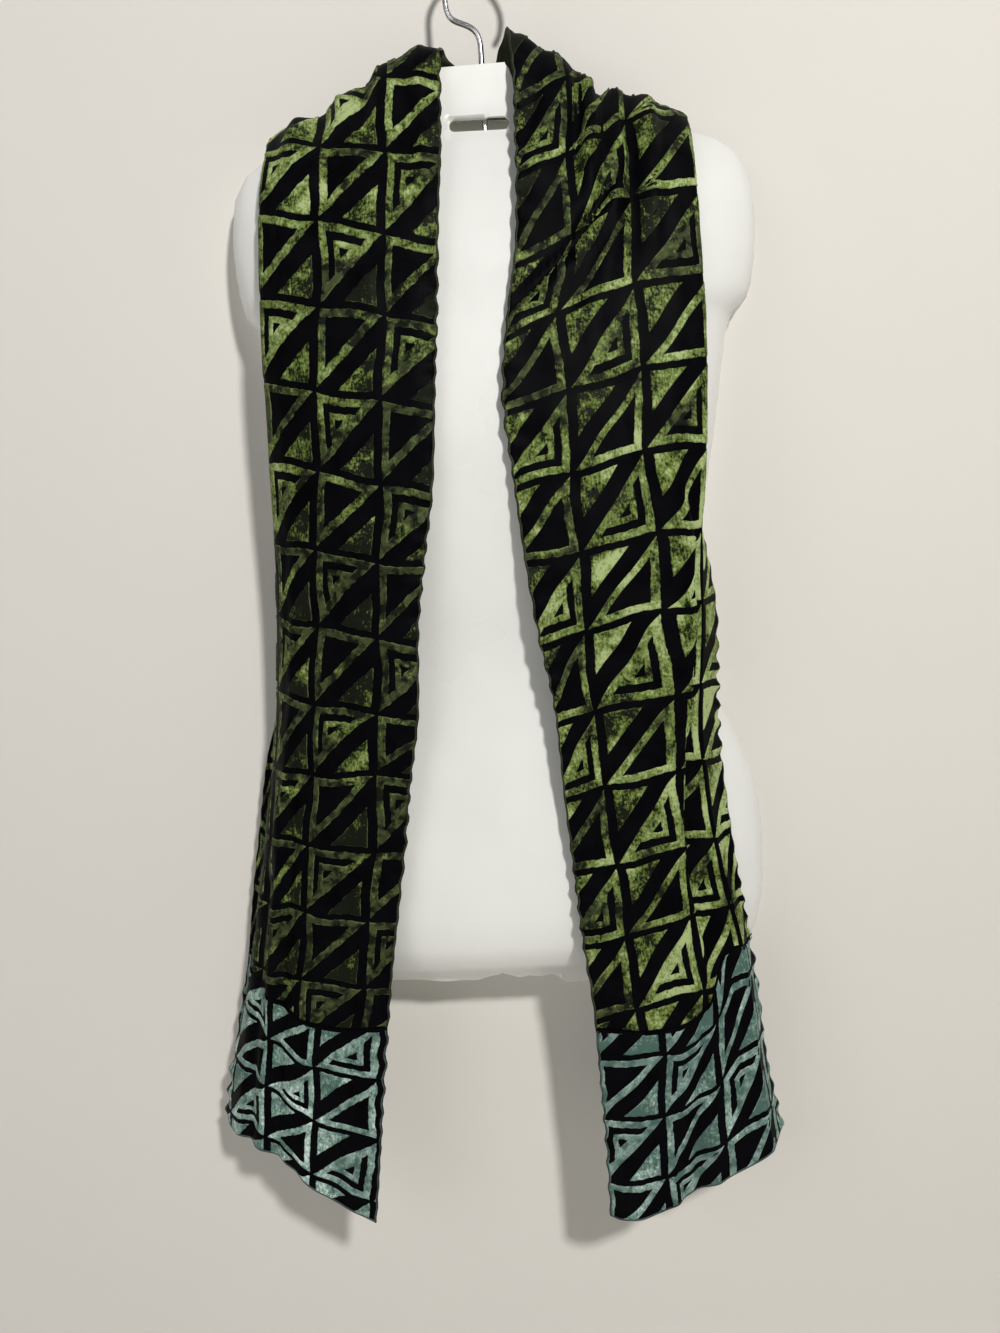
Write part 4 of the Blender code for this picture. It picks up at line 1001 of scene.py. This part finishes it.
def add_green_pile(cloth, word, finish):
    cells = cells_of(range(-8, 12), range(-1, 3), cloth.parity)

    def top(across):
        return cloth.side.ridge_drop(across) - cloth.neck_length(across) + NECK_LAP

    def foot(across):
        return cloth.seam(across) - PILE_TO_SEAM

    # How far the pile leans over here by side, drop and place across, which its material paints as shade and
    # highlight.
    def fade(across, drop):
        return np.interp(drop, NAP_SHADE_DROPS, NAP_SHADES[cloth.side.sign]) + NAP_SHADE_ACROSS * (across - MIDDLE_COLUMN)

    limits = (HEM_WIDTH, CLOTH_WIDTH - HEM_WIDTH, top, foot)
    obj = add_pile("green_pile_" + word, cloth, cells, cloth.cell_place, limits,
                   (False, cloth.side.sign < 0), finish, fade)
    return obj


def add_end_pile(cloth, word, finish):
    cells = cells_of(range(-1, 4), range(-1, 4), 1)
    depth = cloth.hem(np.array([0.0])) - cloth.seam(np.array([0.0]))

    def place(column, row):
        across = END_LINES[cloth.side.sign] + CELL * column
        inside = np.clip(across, 0, CLOTH_WIDTH)
        share = (END_ROW * row + END_STARTS[cloth.side.sign]) / depth
        return pulled(across, cloth.seam(inside) + share * (cloth.hem(inside) - cloth.seam(inside)))

    # The end panels' pile leans over on one side only, which its material paints lighter there: painted
    # highlight and shade by side.
    def fade(across, drop):
        return np.full_like(drop, END_NAP_SHADES[cloth.side.sign])

    limits = (HEM_WIDTH, CLOTH_WIDTH - HEM_WIDTH, lambda across: cloth.seam(across) + PILE_TO_SEAM,
              lambda across: cloth.hem(across) - HEM_WIDTH)
    obj = add_pile("teal_pile_" + word, cloth, cells, place, limits,
                   (True, cloth.side.sign > 0), finish, fade)
    return obj


# --- hems -----------------------------------------------------------------------------------------
HEM_LIFT, HEM_ROUND = 0.0003, 0.0007  # of the hem's roll off the cloth, and its own height
HEM_INSET = 0.0003
HEM_TO_SEAM = 0.001
HEM_STEPS, END_HEM_STEPS, FOOT_HEM_STEPS = 240, 60, 90
HEM_CORNER = 0.002  # share of the width that the hem at the foot keeps clear of the corners


def add_hem(name, cloth, runs, finish):
    """Narrow turned hems. runs lists, for each, its edge's places and the way in from the edge."""
    bm = bmesh.new()
    across, drop, lift = [], [], []
    for length_steps, place in runs:
        part, inward, along = lattice(5, length_steps)
        scratch = bpy.data.meshes.new("hem")
        part.to_mesh(scratch)
        part.free()
        bm.from_mesh(scratch)
        a, d = place(inward * HEM_WIDTH, along)
        across.append(a)
        drop.append(d)
        rolled = np.sin(math.pi * np.clip(inward * 0.9 + 0.12, 0, 1)) ** 0.6
        lift.append(HEM_LIFT + HEM_ROUND * rolled)
    across, drop, lift = (np.concatenate(one) for one in (across, drop, lift))
    move_verts(bm, cloth.point(across, drop, lift))
    bm.verts.index_update()
    lay_out(bm, across, drop)
    return add_piece(name, bm, finish)


def edge_runs(steps, top_of, foot_of):
    """The hems along both long edges, from a top to a foot, which are drops for places across."""

    def edge(start, way):
        def place(inward, along):
            across = start + way * inward
            top = top_of(across)
            return across, top + (foot_of(across) - top) * along

        return place

    return [(steps, edge(HEM_INSET, 1)), (steps, edge(CLOTH_WIDTH - HEM_INSET, -1))]


def green_hem_runs(cloth):
    return edge_runs(
        HEM_STEPS,
        lambda across: cloth.side.ridge_drop(across) - cloth.neck_length(across),
        lambda across: cloth.seam(across) - HEM_TO_SEAM,
    )


def end_hem_runs(cloth):
    def foot(inward, along):
        across = CLOTH_WIDTH * (HEM_CORNER + (1 - 2 * HEM_CORNER) * along)
        return across, cloth.hem(across) - inward

    sides = edge_runs(END_HEM_STEPS, lambda across: cloth.seam(across) + HEM_TO_SEAM, cloth.hem)
    return sides + [(FOOT_HEM_STEPS, foot)]


# --- form -----------------------------------------------------------------------------------------
def rim_crinkle(across, up):
    """Small waves of the shell's trimmed edge, out of its surface."""
    to_side = (1 - np.abs(2 * across - 1)) * SHOULDER_HALF
    to_foot = up * FORM_HEIGHT
    side, foot = (np.exp(-((way / RIM_WAVE_REACH) ** 2)) for way in (to_side, to_foot))
    waves = np.sin(300 * up) + np.sin(173 * up + 60 * across) + 0.5 * np.sin(110 * across + 1)
    return (side * (up < 0.93) + foot) * RIM_WAVE * waves


def form_skin():
    """The form's skin with its crinkled edge, facing outwards."""
    bm, across, up = lattice(FORM_ACROSS, FORM_UP)
    wide = 2 * across - 1
    higher, lower = np.minimum(up + 0.002, 1), np.maximum(up - 0.002, 0)
    righter, lefter = np.minimum(wide + 0.004, 1), np.maximum(wide - 0.004, -1)
    ahead = form_point(wide, higher) - form_point(wide, lower)
    aside = form_point(righter, up) - form_point(lefter, up)
    outward = np.cross(aside, ahead)
    outward /= np.maximum(np.linalg.norm(outward, axis=1), 1e-9)[:, None]
    move_verts(bm, form_point(wide, up) + outward * rim_crinkle(across, up)[:, None])
    return bm


def sleeve_shape():
    bm = box(SLEEVE_HALF, (SLEEVE_BACK - SLEEVE_FRONT) / 2, (SLEEVE_FOOT - SLEEVE_TOP) / 2)
    round_off(bm, bm.edges, SLEEVE_ROUND, 3)
    upright(bm, WIRE_X, (SLEEVE_FRONT + SLEEVE_BACK) / 2, (SLEEVE_TOP + SLEEVE_FOOT) / 2)
    return bm


def bore_shape():
    bm = bmesh.new()
    radius = WIRE_RADIUS + WIRE_CLEARANCE
    bmesh.ops.create_cone(bm, cap_ends=True, segments=32, radius1=radius, radius2=radius, depth=BORE_LENGTH)
    upright(bm, WIRE_X, 0, (SLEEVE_TOP + SLEEVE_FOOT) / 2)
    return bm


def slot_shape():
    bm = box(SLOT_LENGTH / 2, CUT_DEPTH / 2, SLOT_HEIGHT / 2)
    ends = [edge for edge in bm.edges if abs(edge.verts[0].co.y - edge.verts[1].co.y) > CUT_DEPTH / 2]
    round_off(bm, ends, SLOT_HEIGHT * SLOT_ROUND, 8)
    upright(bm, SLOT_X, CUT_Y, SLOT_DROP)
    return bm


def add_form_shell(plastic):
    obj = add_piece("form_shell", form_skin(), plastic)
    thicken(obj, SHELL_WALL, -1)
    helpers = []
    steps = (("UNION", sleeve_shape()), ("DIFFERENCE", bore_shape()), ("DIFFERENCE", slot_shape()))
    for operation, shape in steps:
        mesh = bpy.data.meshes.new("helper")
        shape.to_mesh(mesh)
        shape.free()
        mesh.materials.append(plastic)
        helper = bpy.data.objects.new("helper", mesh)
        bpy.context.scene.collection.objects.link(helper)
        helpers.append(helper)
        modifier = obj.modifiers.new(operation, "BOOLEAN")
        modifier.operation, modifier.object, modifier.solver = operation, helper, "EXACT"
    shown = obj.evaluated_get(bpy.context.evaluated_depsgraph_get())
    whole = bpy.data.meshes.new_from_object(shown)
    obj.modifiers.clear()
    obj.data = whole
    for helper in helpers:
        bpy.data.objects.remove(helper)
    whole.set_sharp_from_angle(angle=math.radians(50))
    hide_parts("torso_form")


def round_off(bm, edges, width, segments):
    bmesh.ops.bevel(bm, geom=edges, offset=width, segments=segments, profile=0.5, affect="EDGES", material=-1)


def upright(bm, x, y, drop):
    """Puts a helper's shape at its place on the upright form, then leans it with the form."""
    points = np.array([vert.co for vert in bm.verts]) + (x, y, -drop)
    move_verts(bm, leaned(points))


def box(half_x, half_y, half_z):
    bm = bmesh.new()
    bmesh.ops.create_cube(bm, size=2)
    bmesh.ops.scale(bm, verts=bm.verts, vec=(half_x, half_y, half_z))
    return bm


# --- hook -----------------------------------------------------------------------------------------
def add_hook_wire(chrome):
    stem = columns(HOOK_STEM_NAMES, HOOK_STEM)
    turns = np.linspace(math.pi, HOOK_END_ANGLE, 40)
    x = np.concatenate([stem["x"], HOOK_RADIUS * np.cos(turns)])
    z = np.concatenate([-stem["drop"], WIRE_RADIUS - HOOK_RADIUS + HOOK_RADIUS * np.sin(turns)])
    curve = bpy.data.curves.new("hook_wire", "CURVE")
    curve.dimensions = "3D"
    spline = curve.splines.new("NURBS")
    points = leaned(np.stack([x, 0 * x, z], axis=1))
    spline.points.add(len(points) - 1)
    for target, point in zip(spline.points, points):
        target.co = (*point, 1)
    spline.use_endpoint_u = True
    spline.order_u = 3
    spline.resolution_u = 4
    curve.bevel_depth = WIRE_RADIUS
    curve.bevel_resolution = 5
    curve.use_fill_caps = True
    curve.materials.append(chrome)
    obj = bpy.data.objects.new("hook_wire", curve)
    bpy.context.scene.collection.objects.link(obj)
    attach(obj, "root")
    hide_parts("wire_hook")


# --- materials ------------------------------------------------------------------------------------
class Look:
    """A material's nodes, made by short calls."""

    def __init__(self, tree):
        self.tree = tree

    def give(self, node, values):
        """Links or sets a node's inputs."""
        for key, value in values.items():
            if isinstance(value, bpy.types.NodeSocket):
                self.tree.links.new(value, node.inputs[key])
            else:
                node.inputs[key].default_value = value
        return node

    def node(self, kind, values=None, **settings):
        node = self.tree.nodes.new(kind)
        for key, value in settings.items():
            setattr(node, key, value)
        return self.give(node, values or {})

    def maths(self, operation, *values):
        return self.node("ShaderNodeMath", dict(enumerate(values)), operation=operation).outputs[0]

    def mix(self, share, first, second):
        values = {0: share, 6: first, 7: second}
        return self.node("ShaderNodeMix", values, data_type="RGBA", clamp_factor=True).outputs[2]

    def ramp(self, value, low, high, to_low=0.0, to_high=1.0):
        """The value's place between low and high, as a place between two others, and never past them."""
        values = {"Value": value, "From Min": low, "From Max": high, "To Min": to_low, "To Max": to_high}
        return self.node("ShaderNodeMapRange", values, clamp=True).outputs[0]

    def noise(self, vector, scale, detail=2.0, roughness=0.5, distortion=0.0):
        values = {"Vector": vector, "Scale": scale, "Detail": detail, "Roughness": roughness}
        return self.node("ShaderNodeTexNoise", {**values, "Distortion": distortion}).outputs[0]

    def blend(self, *parts):
        """The sum of values times their shares."""
        total = None
        for value, share in parts:
            part = self.maths("MULTIPLY", value, share)
            total = part if total is None else self.maths("ADD", total, part)
        return total

    def stretched(self, vector, scale):
        return self.node("ShaderNodeMapping", {"Vector": vector, "Scale": scale}).outputs[0]

    def bumped(self, height, strength, distance):
        values = {"Height": height, "Strength": strength, "Distance": distance}
        return self.node("ShaderNodeBump", values).outputs[0]

    def place(self):
        return self.node("ShaderNodeTexCoord").outputs["Object"]

    def cloth(self):
        """The place on the cloth, in metres across and along it."""
        return self.node("ShaderNodeUVMap", uv_map="cloth").outputs[0]


def new_material(name):
    """A material, the Look of its nodes and its shader."""
    material = bpy.data.materials.new(name)
    material.use_nodes = True
    return material, Look(material.node_tree), material.node_tree.nodes["Principled BSDF"]


def group(name, inputs, outputs, fill):
    """A node group; fill gets its Look, its inputs' sockets and links the results it returns."""
    tree = bpy.data.node_groups.new(name, "ShaderNodeTree")
    for word, kind, value in inputs:
        socket = tree.interface.new_socket(word, in_out="INPUT", socket_type=kind)
        socket.default_value = value
    for word, kind in outputs:
        tree.interface.new_socket(word, in_out="OUTPUT", socket_type=kind)
    look = Look(tree)
    given = look.node("NodeGroupInput")
    look.node("NodeGroupOutput", fill(look, given.outputs))
    return tree


def fill_pile(look, given):
    """Crushed pile: its own random flecks and patches, with painted shade where its nap leans away, painted
    light where it leans over, painted highlights where it leans furthest, and a painted highlight along the
    motifs' edges.
    """
    place = look.place()
    # How far the pile leans over, set per vertex, which is painted as shade and highlight.
    nap = look.node("ShaderNodeAttribute", attribute_name="nap").outputs["Fac"]
    edge = look.node("ShaderNodeAttribute", attribute_name="edge").outputs["Fac"]
    patches = look.noise(place, 26, 2.0, 0.5, 0.5)
    blots = look.noise(place, 130, 2.0, 0.55, 0.5)
    specks = look.noise(place, 460, 3.0, 0.65, 0.2)
    streaks = look.noise(look.stretched(look.cloth(), (800, 170, 1)), 1.0, 2.0, 0.6)
    crushed = look.blend((specks, 0.50), (blots, 0.38), (streaks, 0.32))
    # The crushed pile's own random patches and flecks, plus the nap's lean, which stands for painted shade
    # and highlight.
    mottle_and_shade = look.blend((look.maths("SUBTRACT", patches, 0.5), given["Patchiness"]), (nap, given["Nap Shade"]))
    mottle_and_shade = look.maths("ADD", look.maths("ADD", mottle_and_shade, given["Lean"]), crushed)
    # A painted highlight along the motifs' edges, broken up by the blots.
    rim = look.maths("MULTIPLY", edge, look.ramp(blots, 0.40, 0.60))
    rim = look.maths("MULTIPLY", rim, given["Edge Light"])
    light = look.maths("MAXIMUM", look.ramp(mottle_and_shade, 0.515, 0.615), rim)
    # Glints: a painted highlight where the pile leans furthest over, and on part of the edges' painted
    # highlight.
    glint = look.maths("MAXIMUM", look.ramp(mottle_and_shade, 0.63, 0.78), look.maths("MULTIPLY", rim, 0.6))
    colour = look.mix(light, given["Dark"], given["Light"])
    colour = look.mix(glint, colour, given["Glint"])
    height = look.blend((specks, 0.6), (blots, 0.5), (patches, 1.2))
    return {"Colour": colour, "Height": height}


def velvet(name, pile, values, roughness, sheen, sheen_tint):
    material, look, shader = new_material(name)
    made = look.node("ShaderNodeGroup", values, node_tree=pile)
    look.give(shader, {
        "Base Color": made.outputs["Colour"],
        "Roughness": roughness,
        "Sheen Weight": sheen,
        "Sheen Roughness": 0.35,
        "Sheen Tint": sheen_tint,
        "Specular IOR Level": 0.12,
        "Normal": look.bumped(made.outputs["Height"], 0.6, 0.0012),
    })
    return material


def woven(name, colour, thread_and_sheen, roughness, sheen=0.05, specular=0.15):
    """Satin, the wrong side or a hem: fine threads across and along, in the cloth's own coordinates, mixed in
    patches towards a lighter colour, which on the hems is partly a painted highlight.
    """
    material, look, shader = new_material(name)
    cloth = look.cloth()
    threads = look.noise(look.stretched(cloth, (2600, 500, 1)), 1.0, 2.0, 0.6)
    slubs = look.noise(look.stretched(cloth, (420, 1900, 1)), 1.0, 2.0, 0.6)
    patchy = look.noise(look.place(), 45, 3.0, 0.6)
    share = look.blend((threads, 0.5), (patchy, 0.5))
    look.give(shader, {
        "Base Color": look.mix(look.ramp(share, 0.38, 0.64), colour, thread_and_sheen),
        "Roughness": look.ramp(patchy, 0.3, 0.7, roughness - 0.06, roughness + 0.08),
        "Sheen Weight": sheen,
        "Specular IOR Level": specular,
        "Normal": look.bumped(look.maths("ADD", threads, slubs), 0.35, 0.0003),
    })
    return material


def moulded_plastic():
    material, look, shader = new_material("white_plastic")
    cloudy = look.noise(look.place(), 9, 3.0, 0.5)
    fine = look.noise(look.place(), 160, 2.0, 0.5)
    dull, bright = (0.695, 0.705, 0.685, 1), (0.73, 0.74, 0.72, 1)
    look.give(shader, {
        "Base Color": look.mix(look.ramp(cloudy, 0.35, 0.65), dull, bright),
        "Roughness": look.ramp(cloudy, 0.3, 0.7, 0.26, 0.36),
        "Normal": look.bumped(look.blend((cloudy, 4.0), (fine, 0.12)), 0.25, 0.002),
    })
    return material


def plated_wire():
    material, look, shader = new_material("hook_chrome")
    drawn = look.noise(look.stretched(look.place(), (60, 60, 1500)), 1.0, 2.0, 0.5)
    dull, bright = (0.42, 0.42, 0.43, 1), (0.60, 0.60, 0.61, 1)
    look.give(shader, {
        "Base Color": look.mix(look.ramp(drawn, 0.3, 0.7), dull, bright),
        "Roughness": look.ramp(drawn, 0.3, 0.7, 0.16, 0.30),
        "Metallic": 1.0,
    })
    return material


# --- making it all --------------------------------------------------------------------------------
PILE = group(
    "crushed_pile_and_shade",
    [("Dark", "NodeSocketColor", (0, 0, 0, 1)), ("Light", "NodeSocketColor", (1, 1, 1, 1)),
     ("Glint", "NodeSocketColor", (1, 1, 1, 1)), ("Lean", "NodeSocketFloat", 0.0),
     ("Nap Shade", "NodeSocketFloat", 0.1), ("Patchiness", "NodeSocketFloat", 0.4),
     ("Edge Light", "NodeSocketFloat", 0.8)],
    [("Colour", "NodeSocketColor"), ("Height", "NodeSocketFloat")],
    fill_pile,
)
# Dark is the pile where it leans away, partly painted shade; Light where it leans over, partly painted light;
# Glint a painted highlight; Edge Light the strength of a painted highlight along the motifs' edges.
GREEN_VALUES = {
    "Dark": (0.003, 0.005, 0.0012, 1), "Light": (0.105, 0.150, 0.028, 1), "Glint": (0.33, 0.41, 0.18, 1),
    "Lean": -0.095, "Nap Shade": 0.125, "Patchiness": 0.85, "Edge Light": 0.75,
}
TEAL_VALUES = {
    "Dark": (0.055, 0.11, 0.092, 1), "Light": (0.165, 0.26, 0.22, 1), "Glint": (0.58, 0.72, 0.68, 1),
    "Lean": -0.02, "Nap Shade": -0.03, "Patchiness": 0.55, "Edge Light": 1.2,
}
GREEN = velvet("green_pile", PILE, GREEN_VALUES, 0.62, 0.05, (0.62, 0.75, 0.35, 1))
TEAL = velvet("teal_pile", PILE, TEAL_VALUES, 0.42, 0.2, (0.75, 0.95, 0.90, 1))
SATIN = woven("black_satin", (0.0006, 0.0006, 0.0010, 1), (0.0025, 0.0025, 0.0038, 1), 0.50, 0.0, 0.025)
WRONG_SIDE = woven("wrong_side", (0.018, 0.022, 0.011, 1), (0.05, 0.06, 0.032, 1), 0.75)
TEAL_WRONG_SIDE = woven("teal_wrong_side", (0.02, 0.032, 0.03, 1), (0.08, 0.11, 0.10, 1), 0.75)
# The hems' lighter thread colours stand partly for a painted highlight on the rolled edges.
GREEN_HEM = woven("green_hem", (0.007, 0.009, 0.005, 1), (0.045, 0.055, 0.028, 1), 0.6)
TEAL_HEM = woven("teal_hem", (0.004, 0.006, 0.006, 1), (0.085, 0.125, 0.115, 1), 0.55)

green = add_green_cloth((SATIN, WRONG_SIDE))
green_extras = [add_green_pile(LEFT_CLOTH, "left", GREEN), add_green_pile(RIGHT_CLOTH, "right", GREEN)]
for cloth, word in ((LEFT_CLOTH, "left"), (RIGHT_CLOTH, "right")):
    hem = add_hem("green_hem_" + word, cloth, green_hem_runs(cloth), GREEN_HEM)
    green_extras.append(hem)
    end = add_end_cloth(cloth, word, (SATIN, TEAL_WRONG_SIDE))
    end_pile = add_end_pile(cloth, word, TEAL)
    end_hem = add_hem("teal_hem_" + word, cloth, end_hem_runs(cloth), TEAL_HEM)
add_form_shell(moulded_plastic())
add_hook_wire(plated_wire())


# --- studio ---------------------------------------------------------------------------------------
WALL_Y, WALL_HEIGHT = 0.042, 5
FLOOR_DROP, FLOOR_HALF, FLOOR_DEPTH = 1.28, 6, 6
CORNER_ROUND = 0.12
PAINT = (0.625, 0.608, 0.572, 1)
LIGHT_TARGET = Vector((0, 0, -0.5))
LIGHT_NAMES = ("name", "place", "size", "power", "colour")
LIGHTS = (
    ("key", (0.75, -2.2, 0.80), 0.22, 62, (1.0, 0.975, 0.94)),
    ("fill", (-1.5, -2.0, 0.1), 1.8, 13, (0.98, 0.985, 1.0)),
    ("back_fill", (0.5, 2.6, 0.4), 2.0, 55, (1.0, 0.98, 0.92)),
)
SURROUND, SURROUND_POWER = (0.85, 0.85, 0.86, 1), 0.11


def studio_paint():
    """Pale paint that is seen from the front only, and lets the light behind it through."""
    material, look, shader = new_material("studio_paint")
    look.give(shader, {"Base Color": PAINT, "Roughness": 0.9})
    clear = look.node("ShaderNodeBsdfTransparent").outputs[0]
    back = look.node("ShaderNodeNewGeometry").outputs["Backfacing"]
    shadow = look.node("ShaderNodeLightPath").outputs["Is Shadow Ray"]
    shown = {0: look.maths("MAXIMUM", back, shadow), 1: shader.outputs[0], 2: clear}
    shown = look.node("ShaderNodeMixShader", shown).outputs[0]
    look.give(material.node_tree.nodes["Material Output"], {"Surface": shown})
    return material


def add_studio():
    """Floor and wall in one sheet, with a rounded corner between them."""
    bm = bmesh.new()
    bmesh.ops.create_grid(bm, x_segments=1, y_segments=1, size=1.0)
    bmesh.ops.scale(bm, verts=bm.verts, vec=(FLOOR_HALF, FLOOR_DEPTH / 2, 1))
    bmesh.ops.translate(bm, verts=bm.verts, vec=(0, WALL_Y - FLOOR_DEPTH / 2, -FLOOR_DROP))
    corner = [edge for edge in bm.edges if all(vert.co.y > WALL_Y - 0.01 for vert in edge.verts)]
    wall = bmesh.ops.extrude_edge_only(bm, edges=corner)["geom"]
    raised = [item for item in wall if isinstance(item, bmesh.types.BMVert)]
    bmesh.ops.translate(bm, verts=raised, vec=(0, 0, WALL_HEIGHT))
    corner = [edge for edge in bm.edges if len(edge.link_faces) == 2]
    round_off(bm, corner, CORNER_ROUND, 10)
    mesh = bpy.data.meshes.new("studio")
    bm.to_mesh(mesh)
    bm.free()
    mesh.shade_smooth()
    mesh.materials.append(studio_paint())
    studio = bpy.data.objects.new("studio", mesh)
    bpy.context.scene.collection.objects.link(studio)


def add_light(name, place, size, power, colour):
    data = bpy.data.lights.new(name, "AREA")
    data.shape = "DISK"
    data.size = size
    data.energy = power
    data.color = colour
    light = bpy.data.objects.new(name, data)
    bpy.context.scene.collection.objects.link(light)
    light.location = place
    light.rotation_euler = (LIGHT_TARGET - Vector(place)).to_track_quat("-Z", "Y").to_euler()


def add_surround():
    world = bpy.data.worlds.new("studio")
    world.use_nodes = True
    Look(world.node_tree).give(world.node_tree.nodes["Background"], {0: SURROUND, 1: SURROUND_POWER})
    bpy.context.scene.world = world


add_studio()
for row in LIGHTS:
    add_light(**dict(zip(LIGHT_NAMES, row)))
add_surround()
bpy.context.scene.view_settings.view_transform = "Standard"
